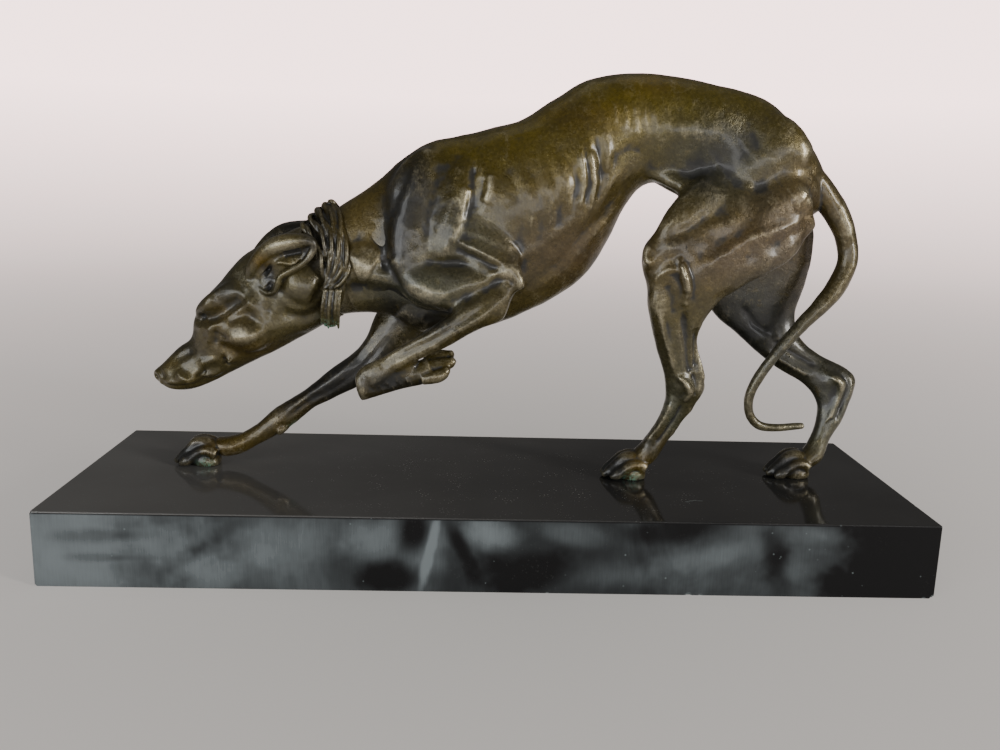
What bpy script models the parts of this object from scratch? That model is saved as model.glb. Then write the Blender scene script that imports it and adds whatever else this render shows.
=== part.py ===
"""Stalking greyhound in patinated bronze on a polished black marble plinth.

Metres, +Z up. The origin is the centre of the plinth's underside. The hound faces -X,
its left side is on -Y. The figure's own sizes are shares of its length: they are
written in steps of one 525th of it, which is a millimetre on the real casting.
"""

import math

import bmesh
import bpy
import numpy as np
from mathutils import Vector

# Driving dimensions
FIGURE_LENGTH = 0.525          # nose to the far hock
TOE_MARGIN = 0.062             # plinth left in front of the reaching fore paw
HEEL_MARGIN = 0.045            # plinth left behind the rearmost paw
PLINTH_WIDTH = 0.200
PLINTH_HEIGHT = 0.052
PLINTH_ARRIS = 0.0008          # worn edge of the marble block
SEAT_GAP = 0.0003              # between the paws and the marble

# The figure's grid: one step is a 525th of its length
STEPS_IN_LENGTH = 525.0
STEP = FIGURE_LENGTH / STEPS_IN_LENGTH
TOE_X = -238.0                 # front of the reaching fore paw, in steps
HEEL_X = 255.0                 # back of the rearmost paw, in steps
MASS_VOXEL = 2.0               # grain of the first fusing, in steps
MASS_ROUNDS = 12
FINE_VOXEL = 1.6               # grain of the second
FINE_ROUNDS = 2
LOFT_SIDES = 24
LIMB_SIDES = 14
SLIM_SIDES = 10                # toes and strands
ROWS_PER_CUT = 4               # rings laid between two given cross sections
LOFT_CAP = 0.5                 # how far the closing tip stands off the last ring, in ring spacings
LIMB_CAP = 0.6
STROKE_REACH = 2.2             # a carving stroke fades out at this many widths
STROKE_ROWS = 4                # points read between two given ones of a stroke
MIDDLE_BAND = -2.0             # a stroke also takes the skin this far across the middle, in steps
TRIANGLE_BUDGET = 9000

PLINTH_LENGTH = TOE_MARGIN + (HEEL_X - TOE_X) * STEP + HEEL_MARGIN
FIGURE_SHIFT = -PLINTH_LENGTH / 2 + TOE_MARGIN - TOE_X * STEP

# Cross sections: top x, top z, bottom x, bottom z, middle y, half width, fuller above (+) or below (-)
TRUNK = [
    (-131, 184, -125, 115, 0, 19, 0.0),
    (-104, 201.5, -104, 119, 0, 20, 0.0),
    (-87, 213, -86, 120, 0, 21, -0.1),
    (-69, 229.5, -66, 116, 0, 24, -0.15),
    (-51, 241.5, -42, 108, 0, 27, -0.1),
    (-30, 247, -9, 110.5, 0, 31, 0.0),
    (-6, 253, 20, 121.5, 0, 33, 0.1),
    (15, 259, 45, 134.5, 0, 33, 0.15),
    (35, 271.5, 67, 153, 0, 31, 0.15),
    (55, 284.5, 81, 177, 0, 28, 0.15),
    (76, 291.5, 93, 203, 0, 24, 0.15),
    (98, 293, 106, 217, 0, 22, 0.15),
    (119, 292, 124, 215, 0, 22, 0.15),
    (140, 289, 147, 206, 0, 23, 0.1),
    (165, 284.5, 171, 192, 0, 24, 0.0),
    (187, 277.5, 194, 188, 0, 24, 0.0),
    (207, 262.5, 212, 190, 0, 21, 0.0),
    (222, 248, 224, 196, 0, 15, 0.0),
    (233, 231, 233, 200, 0, 8, 0.0),
]
HEAD = [
    (-250, 73.5, -248, 67, 0, 5, 0.0),
    (-243, 79, -238, 60.3, 0, 8, 0.1),
    (-230, 92, -223, 59.3, 0, 10.5, 0.0),
    (-220, 99.5, -207, 65.2, 0, 12, -0.1),
    (-217.5, 114, -192, 73.2, 0, 15, 0.0),
    (-208, 130, -177, 81, 0, 18.5, 0.0),
    (-197.5, 141, -160, 89.5, 0, 20.5, 0.0),
    (-181, 160, -142, 99.5, 0, 21.5, 0.0),
    (-158, 173, -129, 107, 0, 21.5, 0.0),
    (-137, 183, -120, 112, 0, 20, 0.0),
]
RAISED_FORELEG = [
    (14, 152, 6, 121, -34, 8, 0.0),
    (-11, 140, -12, 114, -36, 10, 0.0),
    (-30, 127, -31, 103, -37, 9.5, 0.0),
    (-48, 114, -41, 98, -37, 8.5, 0.0),
    (-65, 103, -58, 90, -35, 7, 0.0),
    (-81, 93, -73, 80, -33, 6.5, 0.0),
    (-94, 86, -84, 69, -32, 7, 0.0),
    (-99, 79, -91, 62, -32, 6.5, 0.0),
]
FOLDED_PASTERN = [
    (-97, 80, -94, 60, -32, 5.5, 0.0),
    (-82, 81, -82, 64.5, -31, 6.5, 0.0),
    (-68, 90, -66, 69.5, -30, 8, 0.0),
    (-55, 94, -52, 73, -29, 9, 0.0),
]
REACHING_FORELEG = [
    (-58, 150, -24, 110, 20, 10, 0.0),
    (-86, 122, -50, 93, 21, 11, 0.0),
    (-97, 97, -71, 75, 20, 10, 0.0),
    (-109, 84, -91, 65, 19, 8.5, 0.0),
    (-124, 73, -111, 55, 18, 7.5, 0.0),
    (-144, 56.5, -133, 43.5, 16, 6.5, 0.0),
    (-164, 44, -151, 30, 14, 7, 0.0),
    (-174, 35, -161, 23, 13, 7, 0.0),
    (-185, 27, -177, 14, 12, 7, 0.0),
    (-198, 22, -190, 7, 11, 8.5, 0.0),
    (-210, 21, -203, 5, 10.5, 9, 0.0),
]
NEAR_HINDLEG = [
    (150, 236, 204, 206, -4, 12, 0.0),
    (138.5, 214, 221, 194, -15, 15, 0.0),
    (122, 194, 209, 168, -21, 15, 0.0),
    (104, 178, 182, 152, -24, 14, 0.0),
    (101, 163, 160, 137, -24, 12, 0.0),
    (106, 146, 149, 121, -23, 10.5, 0.0),
    (110.5, 122, 146, 110, -21, 9, 0.0),
    (116, 102, 147, 97, -19, 8, 0.0),
    (122.5, 85, 151, 82, -17, 7.5, 0.0),
    (125.5, 73, 156, 72, -15, 8, 0.0),
    (126, 60, 149, 59, -13, 7, 0.0),
    (122, 48, 141, 46, -11, 7, 0.0),
    (114, 32, 132, 29, -8, 7, 0.0),
    (106, 21, 123, 13, -6, 8.5, 0.0),
    (99, 17, 112, 5, -5, 9, 0.0),
]
FAR_HINDLEG = [
    (160, 232, 214, 206, 4, 12, 0.0),
    (150, 205, 234, 192, 14, 15, 0.0),
    (152, 172, 238, 172, 19, 15, 0.0),
    (156, 140, 235, 147, 20, 13, 0.0),
    (167, 121, 229, 125, 20, 11, 0.0),
    (187, 105, 231, 112.5, 19, 9, 0.0),
    (206, 89, 236.5, 104, 18, 8, 0.0),
    (222, 78, 252, 92, 16, 7.5, 0.0),
    (236, 71, 269, 85, 14, 7.5, 0.0),
    (245, 62, 278, 76, 12, 8, 0.0),
    (248, 54, 274, 58, 10, 7, 0.0),
    (247, 42, 269, 45, 8, 7, 0.0),
    (243, 28, 260, 29, 6, 7, 0.0),
    (236, 19, 253, 12, 4, 8.5, 0.0),
    (226, 16, 241, 5, 5, 9, 0.0),
]
LOFTS = [TRUNK, HEAD, RAISED_FORELEG, FOLDED_PASTERN, REACHING_FORELEG, NEAR_HINDLEG, FAR_HINDLEG]

# Round forms along a line: each point is x, y, z and radius
TAIL = [
    (220, 0, 226, 12), (230, 0, 217.5, 10.6), (238.5, 0, 208.5, 9.6), (245.5, -1, 199, 8.9),
    (251, -2, 188.5, 8.1),
    (254.8, -2, 177, 7.5), (255.7, -3, 166, 7.2), (252.8, -4, 156, 7), (246.5, -5, 144, 7),
    (236.5, -7, 132, 6.3),
    (225.5, -8, 120, 5.3), (214, -9, 106, 4.6), (203, -9, 91, 4.2), (195, -8, 77, 3.9),
    (190.5, -7, 62.5, 3.7),
    (193, -6, 50, 3.4), (200, -5, 42.5, 3.3), (209, -4, 40.3, 3.2), (219, -3, 40.3, 3), (228, -2, 41, 2.6),
    (235, -2, 41.5, 2),
]

# Muscles: how flat (sideways share of the radius), then the points of the line
BOTH_SIDES = [
    (0.8, [(-112, 14, 142, 7), (-96, 17, 151, 9), (-82, 19, 148, 9), (-70, 21, 148, 7)]),
    (1.0, [(-112, 3, 124, 6), (-90, 4, 130, 8), (-72, 6, 128, 8)]),
    (1.3, [(-76, 0, 146, 13), (-64, 0, 129, 14), (-45, 0, 117, 13)]),
    (0.6, [(172, 9, 259, 15), (194, 12, 247, 20), (210, 13, 233, 16)]),
    (0.85, [(213, 15, 219, 12.5), (216, 15, 212, 12)]),
    (0.7, [(108, 9, 225, 5), (126, 14, 219, 7), (144, 16, 210, 8)]),
]
NEAR_SIDE = [
    (0.6, [(-43, -10, 232, 12), (-54, -15, 216, 18), (-59, -18, 192, 20), (-61, -21, 170, 18),
           (-60, -24, 154, 14)]),
    (0.5, [(-16, -14, 234, 12), (-24, -20, 212, 17), (-30, -23, 187, 20), (-30, -25, 164, 19)]),
    (0.6, [(-65, -22, 156, 12), (-52, -25, 145, 16), (-30, -27, 142, 17), (-8, -30, 144, 15),
           (8, -33, 145, 10)]),
    (0.5, [(-24, -25, 178, 15), (-8, -28, 170, 17), (4, -32, 160, 14), (13, -35, 150, 8)]),
    (0.9, [(4, -36, 150, 6), (13, -37, 151, 5.5), (16, -36, 144, 5.5)]),
    (0.55, [(213, -17, 214, 13), (198, -21, 204, 17), (178, -24, 191, 18), (158, -26, 172, 16),
            (147, -26, 155, 11)]),
    (0.6, [(219, -15, 199, 12), (200, -19, 182, 13), (172, -21, 168, 15), (149, -22, 150, 11)]),
    (0.6, [(157, -14, 224, 13), (145, -20, 206, 18), (129, -24, 187, 17), (114, -26, 169, 11)]),
    (0.9, [(110, -27, 172, 6.5), (109, -28, 161, 7)]),
    (0.6, [(138, -25, 156, 10), (138, -25, 138, 11), (138, -22, 120, 8), (142, -19, 100, 4.5)]),
    (0.7, [(117, -27, 152, 9), (117, -26, 132, 9.5), (122, -22, 110, 6.5), (130, -18, 88, 5)]),
    (1.0, [(141, -22, 124, 3.5), (145, -19, 100, 3), (151, -16, 80, 3.8)]),
    (0.9, [(134, -20, 78, 5.5), (142, -19, 73, 7.5), (146, -18, 68, 6)]),
]
FAR_SIDE = [
    (0.6, [(-54, 9, 230, 9), (-63, 13, 214, 14), (-69, 18, 192, 17), (-73, 21, 170, 15),
           (-74, 23, 156, 12)]),
    (0.5, [(-28, 13, 232, 12), (-36, 19, 212, 16), (-42, 22, 187, 18), (-42, 24, 164, 17)]),
    (0.6, [(-74, 22, 156, 11), (-66, 25, 142, 14), (-54, 25, 128, 14), (-44, 24, 116, 12)]),
    (0.55, [(-34, 24, 172, 14), (-32, 26, 150, 15), (-38, 25, 128, 12)]),
    (0.55, [(214, 17, 212, 12), (212, 21, 198, 16), (208, 24, 176, 17), (204, 24, 152, 14),
            (204, 22, 134, 10)]),
    (0.6, [(178, 14, 224, 14), (174, 20, 200, 18), (170, 23, 170, 17), (170, 23, 144, 11)]),
    (0.65, [(200, 22, 136, 9), (210, 21, 116, 9), (226, 18, 100, 6.5), (246, 15, 86, 4)]),
    (1.0, [(231, 18, 102, 3), (249, 16, 90, 3), (265, 13, 80, 3.8)]),
    (0.9, [(252, 9, 73, 5.5), (262, 8, 75, 7), (267, 8, 69, 6)]),
]

# Head forms, mirrored to both sides
FACE = [
    (0.7, [(-198, 12, 112, 8), (-184, 15, 106, 13), (-172, 16, 106, 14), (-162, 15, 110, 9)]),
    (0.9, [(-212, 7, 117, 5), (-205, 12, 123, 7), (-194, 14, 130, 8), (-180, 14, 138, 8)]),
    (0.8, [(-148, 15, 148, 14), (-135, 17, 142, 15), (-126, 17, 138, 13)]),
    (1.0, [(-192, 12, 87, 4.5), (-186, 12, 86, 4.5)]),
    (1.0, [(-239, 5.5, 67, 5), (-229, 7, 67, 6.5), (-217, 8, 72, 6), (-206, 9, 77, 5)]),
]
EAR = [
    (0.4, [(-170, 16, 148, 9), (-160, 20, 153, 12), (-148, 24, 163, 12), (-136, 26, 169, 8.5),
           (-128, 26, 173, 4.5)]),
    (0.5, [(-162, 19, 146, 6), (-156, 22, 141, 6), (-153, 22, 138, 4)]),
]
EAR_RIM = [
    (-174, 14, 152), (-169, 18, 161), (-156, 22, 169), (-143, 25, 176), (-130, 26, 177), (-124, 27, 173),
    (-127, 27, 166), (-135, 28, 157), (-144, 28, 153), (-149, 27, 147), (-151, 26, 139), (-158, 24, 135),
    (-163, 21, 139),
]
EAR_RIM_RADIUS = 2.2
FAR_EAR_LIFT = (-4, 6)         # the far ear stands this much further forward and up

# The raised forepaw, its toes curled with the pads turned back and up: flat, then x, y, z, radius
RAISED_PAW = [
    (1.1, [(-62, -30, 79, 7.5), (-52, -29, 82, 8.5), (-44, -29, 86, 8)]),
    (1.0, [(-50, -35, 79, 4.6), (-42, -36, 80.5, 4.8), (-36, -36, 83, 4.4), (-32, -35, 87, 3)]),
    (1.0, [(-48, -31, 86, 5), (-38, -31, 88, 5), (-31, -31, 90, 4.2), (-28, -31, 93, 2.6)]),
    (1.0, [(-48, -26, 90, 5), (-40, -25, 93, 5), (-33, -25, 94, 4.2), (-29, -26, 96, 2.6)]),
    (1.0, [(-50, -22, 84, 5), (-42, -21, 86, 5), (-35, -21, 88, 4.4), (-32, -22, 91, 2.8)]),
]
DEWCLAW = [(-156, 12, 31, 3.5), (-160, 10, 27, 3.5), (-162, 9, 25.5, 2.2)]

# Scarf: a loop of twisted cloth in strands round the neck, a knot and two hanging ends
SCARF_MIDDLE = (-119.5, 156)
SCARF_HALF_HEIGHT = 36
SCARF_HALF_WIDTH = 21
# Each strand: its place across the loop, its radius and where its winding starts
SCARF_STRANDS = [(-9, 3.0, 0.0), (-4, 3.4, 0.9), (1, 3.2, 2.1), (5.5, 3.4, 3.0)]
SCARF_STEPS = 24               # points of each strand
SCARF_GATHER = 0.45            # share of their spacing that the strands keep at the knot
SCARF_SWAY = 0.035             # how much each strand winds in and out
SCARF_BOW = 10                 # how far the strands swing back half way down the neck
SCARF_LEAN = 3                 # how far the loop's top lies forward of its middle
NECK_RISE = 0.6                # climb of the neck's upper line under the loop
SCARF_ENDS = [
    (0.45, [(-117, -23, 141, 6), (-120, -24, 132, 6.5), (-121, -22, 120, 6.5), (-120, -17, 109, 4.6)]),
    (0.45, [(-111, -23, 143, 5), (-111, -24, 132, 5.5), (-111, -22, 123, 5.5), (-111, -18, 115, 4.2)]),
]

# Paws: toe tip x, middle y, height scale of each
PAWS = [(-238, 10, 1.0), (84, -5, 0.95), (211, 5, 0.95)]
# One toe from its root to its claw: x behind the tip, z, radius
MIDDLE_TOE = [(36, 13, 6), (28, 17, 5.2), (20, 17.5, 4.4), (12, 11, 4.0), (5, 5.5, 4.2), (0, 3, 2.2)]
OUTER_TOE = [(42, 11, 5.5), (34, 13.5, 5), (27, 13, 4.3), (20, 8, 4.0), (14, 4.5, 4.2), (9, 2.5, 2.2)]
TOE_SPREAD = 4.3               # middle toes off the paw's middle line
OUTER_SPREAD = 10.5
PAD = [(38, 4, 6), (30, 4, 8), (22, 4, 7), (16, 4, 4)]
PAD_BREADTH = 1.4
TOE_SPLAY = 0.4                # share of a toe's spread that it gains on the way to its claw

# Carving strokes on the sides: width, height (below zero it is a groove), then x and z along the stroke
RIB_STROKES = [
    (4.0, 2.2, [(54, 247), (60, 232), (62, 218), (58, 200)]),
    (4.0, 2.6, [(63, 243), (67, 230), (68, 216), (63, 199), (55, 191)]),
    (4.0, 2.0, [(42, 240), (48, 224), (50, 208), (48, 187)]),
    (4.0, 1.8, [(28, 236), (35, 218), (38, 200), (37, 180)]),
    (4.0, 1.4, [(14, 230), (22, 212), (26, 192), (24, 172)]),
    (3.2, -2.4, [(66, 250), (73, 234), (75, 218), (69, 202)]),
    (3.2, -1.4, [(50, 236), (56, 220), (56, 200)]),
    (3.2, -1.2, [(36, 236), (42, 218), (43, 192)]),
    (4.2, 2.0, [(76, 252), (81, 236), (79, 220)]),
    (4.5, 2.8, [(10, 163), (34, 176), (54, 186), (75, 200), (90, 217), (101, 224)]),
    (5.0, -2.8, [(26, 153), (43, 164), (62, 183), (80, 198)]),
]
NEAR_STROKES = [
    (4.0, -3.4, [(-56, 236), (-64, 223), (-70, 206), (-78, 190), (-81, 170), (-79, 154)]),
    (4.0, 1.6, [(-48, 232), (-56, 214), (-64, 190), (-67, 168), (-66, 153)]),
    (3.5, -3.0, [(-78, 150), (-70, 138), (-58, 126), (-40, 120)]),
    (3.5, 2.2, [(-76, 154), (-68, 144), (-57, 134), (-40, 129)]),
    (5.0, 2.4, [(-20, 212), (-26, 193), (-34, 170)]),
    (5.0, -2.2, [(-32, 222), (-40, 198), (-48, 172)]),
    (4.5, -2.4, [(-4, 222), (-11, 204), (-18, 186)]),
    (4.0, 1.6, [(-2, 224), (-8, 206), (-13, 188)]),
    (3.2, 1.8, [(-24, 174), (-12, 170), (2, 164), (14, 159)]),
    (3.5, -1.6, [(-28, 167), (-12, 163), (2, 157)]),
    (5.0, 2.6, [(217, 199), (199, 190), (178, 185), (160, 176), (148, 166)]),
    (5.0, -2.2, [(208, 206), (192, 199), (174, 194), (160, 186)]),
    (7.0, -1.8, [(162, 246), (162, 234), (164, 222)]),
    (8.0, -3.2, [(146, 232), (156, 241), (168, 252)]),
    (4.0, 1.8, [(109, 177), (124, 183), (139, 192), (157, 194)]),
    (4.5, -1.8, [(114, 186), (128, 194), (142, 203), (154, 208)]),
    (4.0, 2.0, [(109, 150), (120, 161), (129, 158), (133, 142)]),
    (4.0, -1.8, [(110, 157), (121, 168), (134, 164)]),
    (5.0, -2.4, [(132, 128), (137, 108), (141, 92)]),
    (3.5, 1.8, [(-2, 138), (-39, 115), (-56, 107), (-97, 84)]),
    (3.5, 1.8, [(1, 134), (-12, 122), (-28, 113), (-43, 103), (-65, 89), (-82, 76)]),
    (4.0, -2.2, [(-8, 126), (-36, 108), (-60, 97), (-86, 79)]),
]
FACE_STROKES = [
    (2.8, 2.2, [(-209, 111), (-201, 110), (-192, 115), (-181, 122), (-173, 128), (-166, 126)]),
    (2.8, 1.8, [(-166, 126), (-163, 119), (-159, 112), (-152, 113), (-139, 116)]),
    (3.0, -2.0, [(-206, 106), (-196, 109), (-184, 116), (-173, 121)]),
    (3.0, -1.6, [(-212, 116), (-204, 115), (-196, 116)]),
    (3.5, -2.0, [(-200, 92), (-190, 93), (-178, 93), (-166, 96)]),
    (3.0, -1.8, [(-218, 70), (-210, 74), (-204, 82)]),
    (3.0, -1.6, [(-156, 108), (-146, 112), (-138, 110)]),
    (3.5, 1.6, [(-146, 129), (-136, 126), (-126, 129), (-119, 142)]),
    (5.0, -3.5, [(-160, 150), (-157, 152)]),
    (4.5, -2.5, [(-152, 158), (-142, 165), (-134, 169)]),
    (3.0, -2.5, [(-160, 141), (-155, 143)]),
]


def curve_through(rows, count):
    """Rows read at equal steps from a smooth curve through the given ones."""
    rows = [np.array(row, dtype=float) for row in rows]
    rows = [2 * rows[0] - rows[1]] + rows + [2 * rows[-1] - rows[-2]]
    found = []
    for place in np.linspace(0, len(rows) - 3 - 1e-6, count):
        index = int(place)
        t = place - index
        a, b, c, d = rows[index:index + 4]
        bend = (2 * a - 5 * b + 4 * c - d) * t * t + (3 * b - a - 3 * c + d) * t ** 3
        found.append(b + 0.5 * ((c - a) * t + bend))
    return found


def skin(bm, frames, sides, cap):
    """A closed body round a row of frames: middle, upward and sideways half axes, and fullness."""
    rings = len(frames)
    ball = bmesh.ops.create_uvsphere(bm, u_segments=sides, v_segments=rings + 1, radius=1.0)
    ends = (2 * frames[0][0] - frames[1][0], 2 * frames[-1][0] - frames[-2][0])
    for vert in ball["verts"]:
        ring = round(math.acos(max(-1.0, min(1.0, vert.co.z))) / math.pi * (rings + 1))
        if ring in (0, rings + 1):
            first = ring == 0
            middle = frames[0][0] if first else frames[-1][0]
            vert.co = Vector(middle + (ends[0 if first else 1] - middle) * cap)
            continue
        middle, upward, sideways, fullness = frames[ring - 1]
        angle = math.atan2(vert.co.y, vert.co.x)
        width = math.cos(angle) * (1 + fullness * math.sin(angle))
        vert.co = Vector(middle + upward * math.sin(angle) + sideways * width)


def add_loft(bm, cuts):
    """A body through cross sections that stand across the Y axis."""
    frames = []
    for row in curve_through(cuts, ROWS_PER_CUT * (len(cuts) - 1) + 1):
        top = np.array((row[0], row[4], row[1]))
        bottom = np.array((row[2], row[4], row[3]))
        frames.append(((top + bottom) / 2, (top - bottom) / 2, np.array((0, row[5], 0)), row[6]))
    skin(bm, frames, LOFT_SIDES, LOFT_CAP)


def add_limb(bm, path, flat=1.0, sides=LIMB_SIDES, per_point=ROWS_PER_CUT):
    """A body round a line, its sideways half axis being flat times the radius."""
    rows = curve_through(path, per_point * (len(path) - 1) + 1)
    frames = []
    for index, row in enumerate(rows):
        ahead = rows[min(index + 1, len(rows) - 1)][:3]
        behind = rows[max(index - 1, 0)][:3]
        along = (ahead - behind) / np.linalg.norm(ahead - behind)
        upward = np.cross(along, (0, 1, 0))
        upward = upward / np.linalg.norm(upward)
        sideways = np.cross(along, upward)
        frames.append((row[:3], upward * row[3], sideways * row[3] * flat, 0.0))
    skin(bm, frames, sides, LIMB_CAP)


def mesh_of(obj):
    """The object's mesh with its modifiers applied."""
    graph = bpy.context.evaluated_depsgraph_get()
    return bpy.data.meshes.new_from_object(obj.evaluated_get(graph))


def fuse(bm, name, voxel):
    """Fuse the overlapping bodies of a bmesh into one closed skin."""
    mesh = bpy.data.meshes.new(name)
    bmesh.ops.recalc_face_normals(bm, faces=bm.faces)
    bm.to_mesh(mesh)
    bm.free()
    rough = bpy.data.objects.new(name, mesh)
    bpy.context.scene.collection.objects.link(rough)
    remesh = rough.modifiers.new("fuse", "REMESH")
    remesh.mode = "VOXEL"
    remesh.voxel_size = voxel
    fused = mesh_of(rough)
    bpy.data.objects.remove(rough)
    return fused


def relax(points, edges, rounds):
    """Move each point half way to the middle of its neighbours, a number of times."""
    ends = np.concatenate((edges[:, 0], edges[:, 1]))
    others = np.concatenate((edges[:, 1], edges[:, 0]))
    count = np.maximum(np.bincount(ends, minlength=len(points)), 1)
    for _ in range(rounds):
        middle = np.stack([np.bincount(ends, points[others, k], len(points)) for k in range(3)], axis=1)
        points = points + 0.5 * (middle / count[:, None] - points)
    return points


def greyhound_material():
    material = bpy.data.materials.new("patinated_bronze")
    material.use_nodes = True
    shader = material.node_tree.nodes["Principled BSDF"]
    shader.inputs["Base Color"].default_value = (0.16, 0.115, 0.05, 1)
    shader.inputs["Metallic"].default_value = 0.9
    shader.inputs["Roughness"].default_value = 0.42
    return material


def marble_material():
    material = bpy.data.materials.new("black_marble")
    material.use_nodes = True
    shader = material.node_tree.nodes["Principled BSDF"]
    shader.inputs["Base Color"].default_value = (0.012, 0.013, 0.014, 1)
    shader.inputs["Roughness"].default_value = 0.12
    return material


def mirrored(path):
    """The same line on the other side of the figure."""
    return [(row[0], -row[1]) + tuple(row[2:]) for row in path]


def add_pairs(bm, forms):
    """Each flattened form on both sides of the figure."""
    for flat, path in forms:
        for line in (path, mirrored(path)):
            add_limb(bm, line, flat)


def add_ears(bm):
    forward, up = FAR_EAR_LIFT
    rim = [row + (EAR_RIM_RADIUS,) for row in EAR_RIM]
    for flat, path in EAR + [(1.0, rim)]:
        add_limb(bm, mirrored(path), flat)
        add_limb(bm, [(x + forward, y, z + up, radius) for x, y, z, radius in path], flat)


def add_scarf(bm):
    """Strands round the neck that swing back on each side and close up at the knot, and the ends."""
    middle_x, middle_z = SCARF_MIDDLE
    for offset, radius, turn in SCARF_STRANDS:
        path = []
        for step in range(SCARF_STEPS + 1):
            angle = -0.5 * math.pi + 2 * math.pi * step / SCARF_STEPS
            height = math.sin(angle)
            close = SCARF_GATHER + (1 - SCARF_GATHER) * (height + 1) / 2
            x = middle_x + offset * close + SCARF_BOW * (1 - height * height) - SCARF_LEAN * height
            sway = 1.0 + SCARF_SWAY * math.sin(2 * angle + turn)
            y = math.cos(angle) * (SCARF_HALF_WIDTH + 0.5 * radius) * sway
            z = middle_z + height * (SCARF_HALF_HEIGHT + 0.4 * radius) * sway
            z += NECK_RISE * offset * max(0.0, height)
            path.append((x, y, z, radius))
        add_limb(bm, path, sides=SLIM_SIDES, per_point=2)
    for flat, path in SCARF_ENDS:
        add_limb(bm, path, flat)


def add_paws(bm):
    for tip_x, middle_y, lift in PAWS:
        for side in (-1, 1):
            for toe, spread in ((MIDDLE_TOE, TOE_SPREAD), (OUTER_TOE, OUTER_SPREAD)):
                last = len(toe) - 1
                path = []
                for index, (behind, height, radius) in enumerate(toe):
                    splay = spread * (1 - TOE_SPLAY + TOE_SPLAY * index / last)
                    path.append((tip_x + behind, middle_y + side * splay, height * lift, radius))
                add_limb(bm, path, sides=SLIM_SIDES)
        pad = [(tip_x + behind, middle_y, height, radius) for behind, height, radius in PAD]
        add_limb(bm, pad, PAD_BREADTH)


def carve(points, normals, strokes, side):
    """Raise or sink the skin along strokes seen from one side: -1 is the near side, 1 the far one."""
    facing = np.clip(2 * side * normals[:, 1], 0, 1) * (side * points[:, 1] > MIDDLE_BAND)
    shift = np.zeros(len(points))
    flat = points[:, (0, 2)]
    for width, height, line in strokes:
        along = np.array(curve_through(line, STROKE_ROWS * (len(line) - 1) + 1))
        reach = STROKE_REACH * width
        inside = np.all((flat > along.min(axis=0) - reach) & (flat < along.max(axis=0) + reach), axis=1)
        near = flat[inside]
        nearest = np.full(len(near), np.inf)
        for start, end in zip(along[:-1], along[1:]):
            run = end - start
            t = np.clip((near - start) @ run / (run @ run), 0, 1)
            nearest = np.minimum(nearest, np.linalg.norm(near - start - t[:, None] * run, axis=1))
        shift[inside] += height * np.exp(-((nearest / width) ** 2)) * facing[inside]
    return points + normals * shift[:, None]


def read_mesh(mesh):
    """The mesh's points, edges and outward normals as arrays."""
    points = np.empty(len(mesh.vertices) * 3)
    mesh.vertices.foreach_get("co", points)
    normals = np.empty(len(mesh.vertices) * 3)
    mesh.vertices.foreach_get("normal", normals)
    edges = np.empty(len(mesh.edges) * 2, dtype=np.int64)
    mesh.edges.foreach_get("vertices", edges)
    return points.reshape(-1, 3), edges.reshape(-1, 2), normals.reshape(-1, 3)


def make_greyhound(collection):
    """The casting: masses fused and softened, finer forms fused on, carved, seated and thinned."""
    bm = bmesh.new()
    for cuts in LOFTS:
        add_loft(bm, cuts)
    add_pairs(bm, BOTH_SIDES + FACE)
    for flat, path in NEAR_SIDE + FAR_SIDE:
        add_limb(bm, path, flat)
    masses = fuse(bm, "masses", MASS_VOXEL)
    points, edges, normals = read_mesh(masses)
    masses.vertices.foreach_set("co", relax(points, edges, MASS_ROUNDS).ravel())
    bm = bmesh.new()
    add_limb(bm, TAIL)
    add_limb(bm, DEWCLAW)
    add_ears(bm)
    add_scarf(bm)
    add_paws(bm)
    for flat, path in RAISED_PAW:
        add_limb(bm, path, flat, sides=SLIM_SIDES)
    bm.from_mesh(masses)
    bpy.data.meshes.remove(masses)
    mesh = fuse(bm, "greyhound", FINE_VOXEL)
    points, edges, normals = read_mesh(mesh)
    points = relax(points, edges, FINE_ROUNDS)
    for side in (-1, 1):
        points = carve(points, normals, RIB_STROKES + FACE_STROKES, side)
    points = carve(points, normals, NEAR_STROKES, -1)
    points = points * STEP + np.array((FIGURE_SHIFT, 0, PLINTH_HEIGHT))
    points[:, 2] = np.maximum(points[:, 2], PLINTH_HEIGHT + SEAT_GAP)
    mesh.vertices.foreach_set("co", points.ravel())
    obj = bpy.data.objects.new("greyhound", mesh)
    collection.objects.link(obj)
    thin = obj.modifiers.new("thin", "DECIMATE")
    thin.ratio = TRIANGLE_BUDGET / (2 * len(mesh.polygons))
    mesh.materials.append(greyhound_material())
    mesh.shade_smooth()
    return obj


def make_plinth(collection):
    """The marble block, with its edges just broken."""
    bm = bmesh.new()
    bmesh.ops.create_cube(bm, size=1.0)
    bmesh.ops.scale(bm, verts=bm.verts, vec=(PLINTH_LENGTH, PLINTH_WIDTH, PLINTH_HEIGHT))
    bmesh.ops.translate(bm, verts=bm.verts, vec=(0, 0, PLINTH_HEIGHT / 2))
    mesh = bpy.data.meshes.new("plinth")
    bm.to_mesh(mesh)
    bm.free()
    obj = bpy.data.objects.new("plinth", mesh)
    collection.objects.link(obj)
    arris = obj.modifiers.new("arris", "BEVEL")
    arris.width = PLINTH_ARRIS
    arris.segments = 1
    mesh.materials.append(marble_material())
    return obj


def main():
    for obj in list(bpy.data.objects):
        bpy.data.objects.remove(obj)
    collection = bpy.data.collections.new("greyhound_statue")
    bpy.context.scene.collection.children.link(collection)
    make_plinth(collection)
    make_greyhound(collection)


main()
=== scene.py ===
"""Stalking greyhound, cast in bronze with a dark olive patina, on a block of polished black marble.

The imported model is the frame: metres, +Z up, origin at the centre of the plinth's underside, the hound
facing -X with its left side on -Y. The hound's own sizes are steps of one 525th of its length, and a step
is a millimetre on the real casting. Heights of the hound are counted from the marble's top.
"""

import math

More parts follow.
